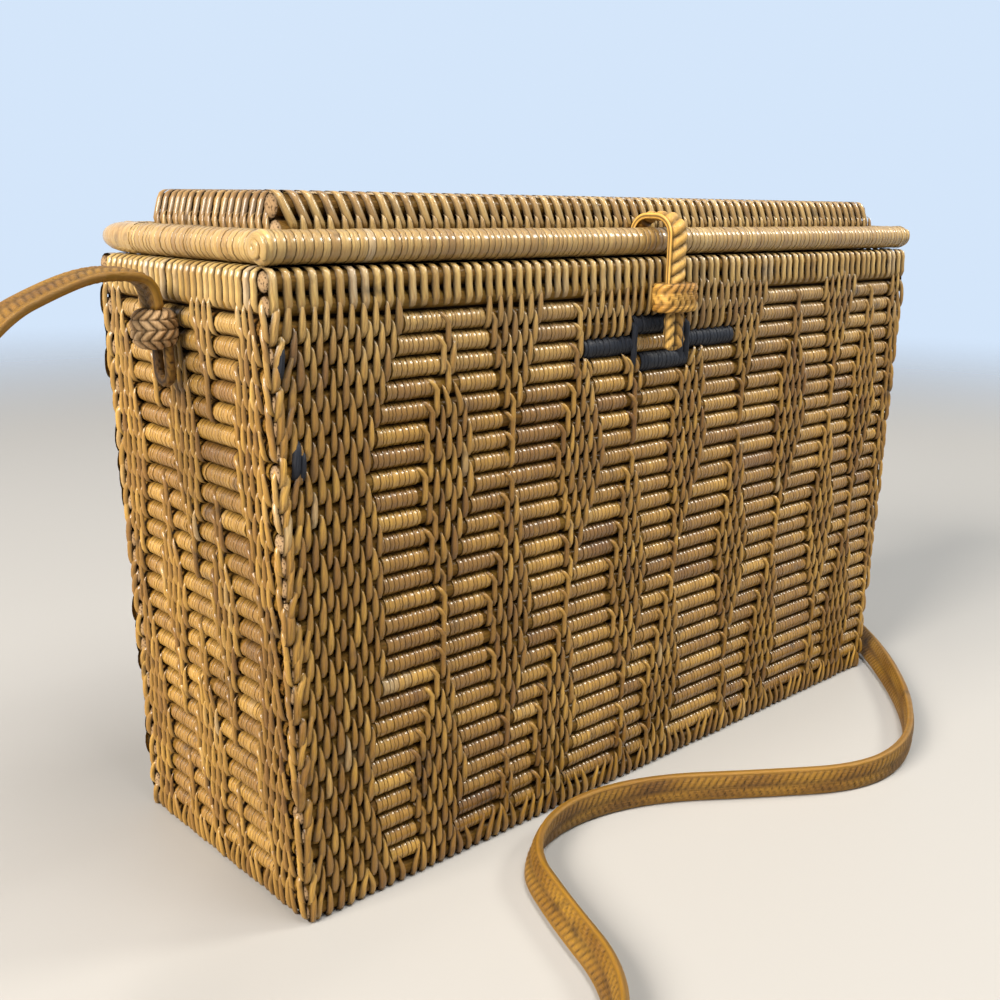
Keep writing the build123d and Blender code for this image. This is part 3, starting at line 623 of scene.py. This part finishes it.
def weaveWall(wall, height, spansOf, angles, cut, marked):
    rowPitch = height / box["rows"]
    rolls, bars, hooks = [], [], []
    above = np.array([])
    for row in range(1, box["rows"]):
        half, spans = spansOf(row)
        high = rowHeight(row, height)
        near = [(a - weave["markReach"], b + weave["markReach"]) for a, b, _ in marked.get(row - 1, [])]
        here = []
        for left, right in spans:
            feet = placeFeet(left, right, above, cut["pitch"])
            here.append(feet)
            if row > 1:
                tips = leanTips(feet, above, cut["pitch"])
                short = [any(a < f < b for a, b in near) for f in feet]
                inner = left > -half + 2 * corner["clear"] and 2 < row < box["rows"] - 1
                hooked = 1 if inner and not short[0] else 0
                bars += list(zip(feet, tips, [high] * len(feet), short))[hooked:]
                hooks += [(f, f - weave["hookLean"], high) for f in feet[:hooked]]
        above = np.sort(np.concatenate(here))
        if row == 1:
            continue
        overlap = weave["rollOverlap"]
        free = [(a[1] - overlap, b[0] + overlap) for a, b in zip(spans, spans[1:])]
        marks = marked.get(row, [])
        for left, right, _ in marks:
            free = cutOut(free, left, right, spanRules["leastRoll"])
        for left, right, kind in [(a, b, "plain") for a, b in free] + marks:
            rolls += cutBands(left, right, cut["band"], high, kind)
    half = spansOf(0)[0]
    count = int(round(2 * half / cut["borderPitch"]))
    border = -half + (np.arange(count) + 0.5) * 2 * half / count + rng.normal(0, weave["borderSpread"], count)
    rows = np.arange(box["rows"])
    halves = np.array([spansOf(row)[0] for row in rows]) - weave["rodInset"]
    highs = rowHeight(rows, height)
    inset = weave["liningInset"]
    core = [rods(wall, -halves, halves, highs, weave["rodRadius"], weave["rodCentre"]),
            lining(wall, halves[0] + cut["behind"], halves[-1] + cut["behind"], inset, height - inset,
                   weave["liningDepth"])]
    foot, tip, high, short = np.array(bars).T
    foot = foot + rng.normal(0, weave["footSpread"], len(foot))
    wide = cut["width"] * rng.normal(1, weave["widthSpread"], len(foot)).clip(*weave["widthRange"])
    reach = np.where(short, weave["shortReach"], rng.uniform(*weave["reach"], len(foot)))
    low, top = high - weave["footDrop"] * rowPitch, high + reach * rowPitch
    long = stitches(wall, foot, tip, low, top, wide, "long")
    foot, tip, high = np.array(hooks).T
    low, top = high - weave["hookDrop"] * rowPitch, high + weave["hookReach"] * rowPitch
    wide = cut["width"] * weave["hookWidth"]
    hook = stitches(wall, foot, tip, low, top, wide, "hook", ease=weave["hookEase"])
    low, top = height - weave["borderRows"] * rowPitch, height + weave["borderRise"]
    # Border stitches in a higher tone: painted light on the top rows
    over = stitches(wall, border, border - weave["borderLean"], low, top, cut["borderWidth"], "over",
                    tone=weave["borderTone"])
    wound = {}
    for kind in sorted({band[3] for band in rolls}):
        start, width, high, tone = bandColumns([band for band in rolls if band[3] == kind])
        radius = weave["rollRadius"] + (weave["dyedLift"] if kind == "dyed" else 0.0)
        wound[kind] = windings(wall, start, width, high, radius, weave["rodCentre"], angles, tone=tone)
    centre = weave["rodCentre"] - weave["insideShift"]
    inside = [rods(wall, -halves, halves, highs, weave["rodRadius"], centre)]
    return dict(core=core, stitches=[long, hook, over], wound=wound, inside=inside, halves=halves,
                highs=highs)


# Lashing at the corners: thick strands over the rod ends, leaning in at the top
def lashing(wall, height, long, sign):
    rowPitch = height / box["rows"]
    rows = np.arange(2, box["rows"])
    rows = rows[rng.random(len(rows)) < corner["share"]]
    places = halfAt(rows) - corner["inset"] if long else corner["side"] + 0 * rows
    at = sign * places + rng.normal(0, corner["spread"], len(rows))
    inward = -sign * rng.uniform(*corner["lean"], len(rows))
    high = rowHeight(rows, height) + rng.normal(0, corner["lift"], len(rows))
    tall = rowPitch * rng.uniform(*corner["tall"], len(rows))
    wide = corner["width"] * rng.uniform(*corner["wide"], len(rows))
    low = high - corner["drop"] * rowPitch
    return stitches(wall, at, at + inward, low, high + tall, wide, "lash", tone=corner["tone"])


frontAngles, backAngles = np.linspace(98, -98, 7), np.linspace(90, -90, 6)
made = {
    "front": weaveWall(walls["front"], box["height"], frontSpans, frontAngles, frontCut, motif),
    "back": weaveWall(walls["back"], box["height"], backSpans, backAngles, backCut, {}),
    "left": weaveWall(walls["left"], leanHeight, endSpans, frontAngles, endCut, {}),
    "right": weaveWall(walls["right"], leanHeight, endSpans, frontAngles, endCut, {}),
}
for name, woven in made.items():
    long = name in ("front", "back")
    height = box["height"] if long else leanHeight
    lashes = [lashing(walls[name], height, long, sign) for sign in (-1, 1)]
    makePiece(name + "Rods", woven["core"], "box", rodCane, [name + "_panel"])
    makePiece(name + "Stitches", woven["stitches"] + lashes, "box", cane)
    makePiece(name + "Windings", [woven["wound"]["plain"]], "box", cane)
    makePiece(name + "Inside", woven["inside"], "box", woundRods)

# Dyed windings with three uprights round the catch, the rod ends, and three dark strands at a corner
uprights = dict(foot=[-15.6, 6.4, 9.2], tip=[-15.6, 6.4, 9.2], low=rowHeight(5.5, box["height"]),
                top=rowHeight(2.7, box["height"]), width=2.6, form="hook")
dyedBars = stitches(walls["front"], **uprights)
frontWound = made["front"]["wound"]
makePiece("dyedWindings", [frontWound["dyed"], dyedBars], "box", dyed, ["dyed_wraps"])
makePiece("catchWindings", [frontWound["catch"]], "box", cane, ["catch_rod"])
ends = [rodEnds(walls[name], side * made[name]["halves"], made[name]["highs"], weave["rodRadius"],
                weave["rodCentre"], side)
        for name in ("front", "back") for side in (-1, 1)]
makePiece("rodEnds", ends, "box", pithEnds)
stained = dict(foot=[-137.6, -134.0, -132.4], tip=[-137.0, -133.6, -132.2], low=[141.5, 118.0, 117.5],
               top=[151.0, 128.5, 126.0], width=[2.2, 2.6, 2.0], form="lash", rise=0.5)
makePiece("stainedStrands", [stitches(walls["front"], **stained)], "box", dyed)
print("walls woven")

# Lid rim: close windings round four rods; the long ones end in caps, the short ones in a smooth nose
# at the back
rim = dict(height=171.7, radius=4.0, frontWidth=2.2, sideWidth=2.3, halfFront=138.8, halfBack=132.5,
           halfShort=36.0, slant=1.8, frontSpread=0.2, sideSpread=0.22, toneSpread=0.12, leastDepth=0.65,
           cap=2.2, capOverlap=0.5, capGirth=1.02, nose=21.0, noseFrom=13.0, woundTo=12.0, noseGirth=1.03)
fullTurn = np.linspace(180, -180, 15)


def rimRoll(wall, left, right, width, spread):
    start, width, high, _ = bandColumns(cutBands(left, right, width, rim["height"], "rim", spread))
    tone = tones(len(start), 0.5, rim["toneSpread"])
    turns = windings(wall, start, width, high, rim["radius"], 0.0, fullTurn, rim["slant"], tone)
    # Painted shade under the roll is kept lighter, at least this share of a band's
    turns["depth"] = np.maximum(turns["depth"], rim["leastDepth"] * bandDepth)
    return turns


# A turned end: at distance x along the rod and angle t round it, the point lies at the radius for that x
def turnedEnd(wall, x, radius, side, sides=18):
    t = roundTurn(sides) * side
    points = onWall(wall, x, rim["height"] + radius * np.sin(t), radius * np.cos(t))
    return dict(points=points[None], strand=0.55, depth=1.0, uv=(x / 4, t * 4), closeDown=True)


# Profile of an end: at share b of its length the radius is sqrt(1.0004 - b^4) of the rod's
bullet = np.array([0, 0.25, 0.5, 0.7, 0.85, 0.95, 1.0])
taper = np.sqrt(1.0004 - bullet ** 4)
for name in ("rimFront", "rimBack", "rimLeft", "rimRight"):
    wall = walls[name]
    if name in ("rimFront", "rimBack"):
        half = rim["halfFront"] if name == "rimFront" else rim["halfBack"]
        patches = [rimRoll(wall, -half, half, rim["frontWidth"], rim["frontSpread"])]
        cap, girth = half - rim["capOverlap"] + rim["cap"] * bullet, rim["capGirth"] * rim["radius"] * taper
        patches += [turnedEnd(wall, side * cap, girth, side) for side in (-1, 1)]
    else:
        half, back = rim["halfShort"], -1 if name == "rimLeft" else 1
        left, right = sorted((-back * half, back * (half - rim["woundTo"])))
        patches = [rimRoll(wall, left, right, rim["sideWidth"], rim["sideSpread"])]
        nose, girth = half - rim["noseFrom"] + rim["nose"] * bullet, rim["noseGirth"] * rim["radius"] * taper
        patches += [turnedEnd(wall, back * nose, girth, back)]
        cap = half - rim["capOverlap"] + rim["cap"] * bullet
        patches += [turnedEnd(wall, -back * cap, rim["radius"] * taper, -back)]
    makePiece(name + "Windings", patches, "lid", cane, ["rim_roll_" + name[3:].lower()])

# Crown: two rods under long slanted stitches that come over the top, pointed ones between their feet.
# On the long sides the slant falls off from the left to a steady part of itself
crown = dict(low=171.2, rodRises=np.array([3.4, 9.4]), rodRadius=2.9, rodCentre=np.array([-2.8, -4.4]),
             width=2.8, spread=0.12, foot=3.2, over=0.3, legWidth=2.5, legFoot=0.3, legTop=7.8, legPlace=0.5,
             legTip=0.4, legRise=0.1, legRiseBack=-0.6, liningDrop=2.5, insideShift=0.25)
crownLong = dict(pitch=4.1, half=128.8, halfBack=126.0, slant=3.6, slantSteady=0.45, slantMore=0.55,
                 slantFall=26.0, tone=0.5, legTone=0.55)
crownShort = dict(pitch=3.3, half=26.6, halfCorner=31.0, slant=0.6, tone=-0.15, legTone=0.1)
crownHeights = crown["low"] + crown["rodRises"]
groove = dict(height=171.0, radius=3.2, centre=1.6, longHalf=133.0, shortHalf=36.0)
for name in ("crownFront", "crownBack", "crownLeft", "crownRight"):
    wall, long = walls[name], name in ("crownFront", "crownBack")
    kind = crownLong if long else crownShort
    half = crownLong["halfBack"] if name == "crownBack" else kind["half"]
    left = -crownShort["halfCorner"] if name == "crownLeft" else -half
    right = crownShort["halfCorner"] if name == "crownRight" else half
    gap, slant = kind["pitch"], kind["slant"]
    count = int(round((right - left) / gap))
    places = left + (np.arange(count) + 0.5) * (right - left) / count + rng.normal(0, crown["spread"], count)
    share = gap / crownLong["pitch"]
    if long:
        falling = np.exp(-np.abs(places - left) / kind["slantFall"])
        slant = slant * (kind["slantSteady"] + kind["slantMore"] * falling)
    foot, tip = places + slant / 2, places - slant / 2
    low, high = crown["low"] + crown["foot"], lid["top"] + crown["over"]
    top = stitches(wall, foot, tip, low, high, crown["width"] * share, "crown", tone=kind["tone"])
    foot, tip = foot + gap * crown["legPlace"], foot + gap * crown["legTip"]
    low, high = crown["low"] + crown["legFoot"], crown["low"] + crown["legTop"]
    rise = crown["legRiseBack"] if name == "crownBack" else crown["legRise"]
    legs = stitches(wall, foot, tip, low, high, crown["legWidth"] * share, "long", rise=rise,
                    tone=kind["legTone"])
    core = [rods(wall, [left] * 2, [right] * 2, crownHeights, crown["rodRadius"], crown["rodCentre"]),
            lining(wall, half, half, crown["low"], lid["top"] - crown["liningDrop"], crown["rodCentre"][0])]
    makePiece(name + "Stitches", [top, legs], "lid", cane)
    makePiece(name + "Rods", core, "lid", rodCane, ["lid_" + name[5:].lower()])
    reach = groove["longHalf"] if long else groove["shortHalf"]
    centre = crown["rodCentre"] - crown["insideShift"]
    inside = [rods(wall, [-reach], [reach], [groove["height"]], groove["radius"], groove["centre"]),
              rods(wall, [left] * 2, [right] * 2, crownHeights, crown["rodRadius"], centre)]
    makePiece(name + "Inside", inside, "lid", woundRods)
crownEnds = [rodEnds(walls["crownFront"], [side * crownLong["half"]] * 2, crownHeights, crown["rodRadius"],
                     crown["rodCentre"], side)
             for side in (-1, 1)]
makePiece("crownEnds", crownEnds, "lid", pithEnds)

# Lid top: wound rods side by side, seen from above and, with the lid open, from below
lidTop = dict(rows=10, pitch=5.4, half=124.0, bandWidth=2.3, spread=0.15, radius=2.6, centre=-2.6,
              angles=np.linspace(180, -180, 13))
highs = (np.arange(lidTop["rows"]) + 0.5 - lidTop["rows"] / 2) * lidTop["pitch"]
bands = []
for high in highs:
    bands += cutBands(-lidTop["half"], lidTop["half"], lidTop["bandWidth"], high, "lid", lidTop["spread"])
start, width, high, tone = bandColumns(bands)
turns = windings(walls["lidTop"], start, width, high, lidTop["radius"], lidTop["centre"], lidTop["angles"],
                 tone=tone)
# Painted shade the same above and below, for the lid seen from both sides
bothSides = np.abs(np.cos(np.radians(lidTop["angles"])))[:, None]
turns["depth"] = np.maximum(turns["depth"], bothSides * bandDepth)
sheet = lining(walls["lidTop"], lidTop["half"], lidTop["half"], highs[0], highs[-1], lidTop["centre"])
makePiece("lidTopWindings", [turns, sheet], "lid", cane, ["lid_top"])
for node in ("base_panel", "hinge_loop_left", "hinge_loop_right"):
    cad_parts[node].data.materials.clear()
    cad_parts[node].data.materials.append(plainCane)
print("lid woven")

poleShare = 0.02  # what is left of a tube's section where its end is closed
# How a braid's section, ridges, ends and tones are formed
section = dict(squareAcross=0.8, squareOut=0.55, ridge=0.6, seamPower=6, backShift=0.25, endShare=0.15,
               level=0.7, rollTone=0.1, toneSwing=0.3)


# A cosine or sine with its size raised to a power, which squares an oval
def squared(value, power):
    return np.sign(value) * np.abs(value) ** power


# A braid along a path: at length s and angle t round it, the point lies at width/2 * squared(cos(t)) sideways
# and (thick/2 + relief) * squared(sin(t)) outwards. Its face is cut into zones: a plain roll where the sign
# is 0, else strands that slant one way or the other
def braidPatch(path, sideways, look):
    step = np.linalg.norm(np.diff(path, axis=0), axis=1)
    length = np.concatenate([[0], np.cumsum(step)])
    s = np.linspace(0, length[-1], int(length[-1] / look["step"]))
    middle = np.stack([np.interp(s, length, path[:, i]) for i in range(3)], -1)
    side = np.stack([np.interp(s, length, sideways[:, i]) for i in range(3)], -1)
    ahead = np.gradient(middle, s, axis=0)
    ahead /= np.linalg.norm(ahead, axis=1, keepdims=True)
    side -= (side * ahead).sum(1, keepdims=True) * ahead
    side /= np.linalg.norm(side, axis=1, keepdims=True)
    face = np.cross(ahead, side)
    t = np.linspace(2 * np.pi, 0, look["sides"], endpoint=False)
    x, y = squared(np.cos(t), section["squareAcross"]), squared(np.sin(t), section["squareOut"])
    bounds, signs = np.array(look["bounds"], float), np.array(look["signs"], float)
    zone = np.clip(np.searchsorted(bounds, x, "right") - 1, 0, len(signs) - 1)
    within = (x - (bounds[zone] + bounds[zone + 1]) / 2) / (bounds[zone + 1] - bounds[zone])
    sign = signs[zone]
    phase = s[:, None] / look["plait"] + sign * within * look["skew"] + section["backShift"] * (y < 0)
    ridge = np.where(sign == 0, 1.0, np.abs(np.sin(np.pi * phase)) ** section["ridge"])
    strand = ridge * (1 - look.get("seam", 1.0) * (2 * within) ** section["seamPower"])
    toEnd = np.minimum(s, s[-1] - s)[:, None]
    taper = np.minimum(1, toEnd / look["endRound"] + section["endShare"]) ** 0.5
    relief = look["relief"] * (strand - section["level"])
    points = (middle[:, None] + side[:, None] * (x * look["width"] / 2 * taper)[..., None]
              + face[:, None] * (y * (look["thick"] / 2 + relief) * taper)[..., None])
    swing = section["toneSwing"] * np.sin(np.floor(phase) * 12.9898 + zone * 4.1)
    shade = look["tone"] + np.where(sign == 0, section["rollTone"], swing)
    poles = middle[[0, -1], None] + poleShare * (points[[0, -1]] - middle[[0, -1], None])
    points = np.concatenate([poles[:1], points, poles[1:]])
    # Painted shade: darker between the strands and at the seams
    layers = (shade, np.clip(0.05 + 1.05 * strand, 0, 1), x * 3 + 0 * phase, s[:, None] + 0 * phase)
    layers = [np.pad(v, ((1, 1), (0, 0)), "edge")[None] for v in layers]
    patch = dict(points=points[None], strand=layers[0], depth=layers[1], uv=layers[2:], closeAcross=True)
    return patch, middle


# Shoulder strap: one smooth spline that follows the route's points, with the way its width faces at each
strapLook = dict(width=9.2, thick=3.0, bounds=(-1, -0.82, 0, 0.82, 1), signs=(0, 1, -1, 0), plait=2.3,
                 skew=1.1, seam=0.45, relief=0.55, step=0.48, sides=28, endRound=2.0, tone=0.3)
strapRoute = [
    (-145.4, 1.5, 154.5), (-145.6, 1.5, 159.5), (-148.2, 1.5, 163.2), (-154, 1.4, 164.4),
    (-162, 0.4, 164.2), (-172, -2.6, 161.6), (-188, -9, 156), (-206, -18, 139.5), (-219, -29, 110),
    (-227, -42, 75), (-230, -58, 41), (-225, -79, 15), (-209, -105, 4.9), (-182, -127, 4.9),
    (-150, -139, 4.9), (-118, -135, 4.9), (-96, -116, 4.9), (-86, -87, 4.9), (-75, -62, 4.9),
    (-49, -52, 4.9), (-19, -59, 4.9), (11, -81, 4.9), (40, -100.5, 4.9), (69, -100, 4.9),
    (99, -83.5, 4.9), (130, -57, 4.9), (155, -30, 4.9), (173, -4, 5.6), (182, 10, 21), (184, 15, 50),
    (181, 12.5, 82), (177, 9, 114), (172.5, 6, 140), (167, 3.5, 158.5), (158, 2, 166.6),
    (149.9, 1.6, 165.6), (145.6, 1.5, 160.5), (145.4, 1.5, 154.5)]
strapFacing = [(0, 1, 0)] * 3 + [
    (0, 1, 0.1), (0, 1, 0.1), (-0.1, 1, 0.1), (-0.3, 1, 0),
    (-0.45, 0.9, 0), (-0.7, 0.7, 0), (-0.9, 0.45, 0), (-1, 0, 0), (-0.9, -0.45, 0.1),
    (-0.65, -0.6, 0.4), (-0.3, -0.55, 0.8), (0, -0.25, 1), (0.3, -0.05, 1), (0.5, -0.15, 1),
    (0.6, -0.2, 1), (0.3, -0.3, 1), (0, 0, 1), (0, 0, 1), (0, 0, 1), (0, 0, 1), (0, 0, 1),
    (0.1, -0.1, 1), (0.3, -0.35, 0.9), (0.6, -0.5, 0.65), (0.75, -0.55, 0.2), (0.85, -0.5, 0),
    (0.8, -0.6, 0), (0.55, -0.85, 0), (0.2, -1, 0)] + [(0, -1, 0)] * 6


def splinePoints(points, name):
    curve = bpy.data.curves.new(name, "CURVE")
    curve.dimensions = "3D"
    curve.resolution_u = 12
    spline = curve.splines.new("NURBS")
    spline.points.add(len(points) - 1)
    weighted = np.concatenate([np.array(points, float), np.ones((len(points), 1))], 1)
    spline.points.foreach_set("co", weighted.ravel())
    spline.order_u = 3
    spline.use_endpoint_u = True
    holder = bpy.data.objects.new(name, curve)
    bpy.context.collection.objects.link(holder)
    bpy.context.view_layer.update()
    mesh = bpy.data.meshes.new_from_object(holder)
    line = np.empty(len(mesh.vertices) * 3)
    mesh.vertices.foreach_get("co", line)
    bpy.data.objects.remove(holder)
    bpy.data.meshes.remove(mesh)
    return line.reshape(-1, 3)


strapLine = splinePoints(strapRoute, "strapRoute")
facing = splinePoints(strapFacing, "strapFacing")
patch, strapMiddle = braidPatch(strapLine, facing, strapLook)
strap = makePiece("shoulderStrap", [patch], "box", braid, ["shoulder_strap"])
tuple(strapMiddle[0] * mm)
[tuple(p) for p in strapMiddle[::6] * mm]

# Curl on each end of the front rim roll: a strand that winds in, its distance from the middle falling with
# the turn q
curlLook = dict(width=2.3, thick=1.3, bounds=(-1, 1), signs=(0,), plait=1.0, skew=0.0, seam=0.4, relief=0.3,
                step=0.3, sides=14, endRound=1.0, start=3.2, end=0.3, turns=1.6, startAngle=2.2, standOut=0.9,
                at=139.9, tone=0.55)
q = np.linspace(0, 2 * np.pi * curlLook["turns"], 60)
far = curlLook["start"] + (curlLook["end"] - curlLook["start"]) * q / q[-1]
angle = q + curlLook["startAngle"]
curls = []
for side in (-1, 1):
    spoke = np.stack([0 * q, np.cos(angle), side * np.sin(angle)], -1)
    middle = np.array([side * curlLook["at"], -lid["rimDepth"], rim["height"]])
    standOut = np.array([side, 0, 0]) * (curlLook["standOut"] * q / q[-1])[:, None]
    path = middle + far[:, None] * spoke + standOut
    curls.append(braidPatch(path, -spoke, curlLook)[0])
makePiece("rimCurls", curls, "lid", cane)

# Closure: one braid out of the groove, over the rim and down the front, bending at the rim
closureLook = dict(width=8.0, thick=2.2, bounds=(-1, -0.88, 1), signs=(0, 1), plait=3.7, skew=0.85,
                   relief=1.3, step=0.35, sides=32, endRound=3.0, tone=0.45)
leafLook = dict(closureLook, bounds=(-1, 0, 1), signs=(1, -1), plait=3.4, skew=1.0, relief=0.9, endRound=1.2)
closure = dict(x=-4.0, backY=-33.5, frontY=-48.1, arch=179.0, low=171.6, end=140.0, round=5.5, ringZ=155.7,
               upperPast=1.0, lowerFrom=2, straight=10)
quarter = np.linspace(0, np.pi / 2, 9)
rise, run = closure["arch"] - closure["round"], closure["round"]
yz = [(closure["backY"], closure["low"])]
yz += [(closure["backY"] - run + run * np.cos(q), rise + run * np.sin(q)) for q in quarter]
yz += [(closure["frontY"] + run - run * np.sin(q), rise + run * np.cos(q)) for q in quarter]
yz += [(closure["frontY"], closure["ringZ"] - closure["upperPast"])]
upper = np.array([(closure["x"], y, z) for y, z in yz])
heights = (closure["ringZ"] + closure["lowerFrom"], closure["end"] + closure["straight"], closure["end"])
lower = np.array([(closure["x"], closure["frontY"], z) for z in heights])
patches = [braidPatch(path, np.tile([1.0, 0, 0], (len(path), 1)), look)[0]
           for path, look in ((upper, closureLook), (lower, leafLook))]
tongue = makePiece("closureBraid", patches, "tongue", closureBraid,
                   ["closure_arch", "closure_tongue"], keepFree=True)
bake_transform(tongue)

# Sliding ring: a flat braid closed round the tongue. At angle q its middle lies at wide * squared(cos(q))
# across and deep * squared(sin(q)) back, a rounded oblong
ringLook = dict(width=8.6, thick=2.4, bounds=(-1, -0.36, 0.36, 1), signs=(1, -1, 1), plait=2.6, skew=1.0,
                relief=1.0, step=0.25, sides=36, endRound=0.1, wide=6.7, deep=3.0, squareWide=0.5,
                squareDeep=0.7, tone=0.05)
q = np.linspace(np.pi / 2, np.pi / 2 - 2 * np.pi, 90)
ringX = closure["x"] + ringLook["wide"] * squared(np.cos(q), ringLook["squareWide"])
ringY = closure["frontY"] + ringLook["deep"] * squared(np.sin(q), ringLook["squareDeep"])
ringPath = np.stack([ringX, ringY, np.full(len(q), closure["ringZ"])], -1)
patch, _ = braidPatch(ringPath, np.tile([0, 0, 1.0], (len(q), 1)), ringLook)
makePiece("closureRing", [patch], "ring", closureBraid, ["closure_ring"])


# Plaited knot: a barrel whose skin is cut into zones over its height h; at angle t the strands of a zone
# lean one way, those of the next the other way. Its radius goes with sqrt(1 - |endShare * (2 h - 1)|^3)
def plaited(look, centre, axes):
    h = np.pad(np.linspace(0, 1, look["down"]), 1, "edge")[:, None]
    closing = np.pad(np.ones(look["down"]), 1, constant_values=poleShare)[:, None]
    t = np.linspace(2 * np.pi, 0, look["round"], endpoint=False)[None, :]
    zone = np.minimum(np.floor(h * look["zones"]), look["zones"] - 1)
    within = h * look["zones"] - zone - 0.5
    phase = look["turns"] * t / (2 * np.pi) + (1 - 2 * (zone % 2)) * within * look["skew"]
    seam = 1 - look["seam"] * (2 * within) ** section["seamPower"]
    bump = np.abs(np.sin(np.pi * phase)) ** section["ridge"] * seam
    barrel = np.sqrt(np.clip(1 - (np.abs(2 * h - 1) * look["endShare"]) ** 3, 0, 1))
    girth = look["radius"] * barrel + look["relief"] * (bump - look["level"])
    x, y, z = closing * girth * np.cos(t), closing * girth * np.sin(t), look["height"] * (h - 0.5)
    points = centre + x[..., None] * axes[0] + y[..., None] * axes[1] + z[..., None] * axes[2]
    shade = 0.5 + look["toneSwing"] * np.sin(np.floor(phase) * 7.3 + zone * 5.1)
    # Painted shade: darker in the hollows between the strands
    return dict(points=points[::-1][None], strand=shade[::-1][None], depth=bump[::-1][None],
                uv=(t * 2, h[::-1] * 6), closeAcross=True)


knotLook = dict(high=151.0, y=1.5, standoff=5.8, radius=5.7, height=10.0, turns=12, zones=4, skew=0.9,
                seam=0.6, relief=1.0, level=0.8, endShare=0.88, toneSwing=0.25, down=56, round=156)
tailLook = dict(width=2.4, thick=2.4, bounds=(-1, 0, 1), signs=(1, -1), plait=2.2, skew=1.2, relief=0.35,
                step=0.4, sides=14, endRound=1.0, halfGap=3.0, standoff=4.0, length=5.6, hidden=2, tone=0.05)
for name, along in (("left", -knotLook["y"]), ("right", knotLook["y"])):
    wall = walls[name]
    centre = onWall(wall, along, knotLook["high"], knotLook["standoff"])
    knot = plaited(knotLook, centre, [wall[1], -wall[3], wall[2]])
    makePiece(name + "Knot", [knot], "box", knotBraid, ["strap_knot_" + name])
    q = np.linspace(-np.pi / 2, np.pi / 2, 15)
    high, gap = knotLook["high"] - knotLook["height"] / 2, tailLook["halfGap"]
    low = high - tailLook["length"]
    start = high + tailLook["hidden"]
    bend = [(gap * np.sin(a), low - gap * np.cos(a)) for a in q]
    loop = np.array([(-gap, start), (-gap, low)] + bend + [(gap, low), (gap, start)])
    path = onWall(wall, along + loop[:, 0], loop[:, 1], tailLook["standoff"])
    patch, _ = braidPatch(path, np.tile(wall[3], (len(path), 1)), tailLook)
    makePiece(name + "Tail", [patch], "box", braid, ["strap_loop_" + name])
print("closure and knots made")
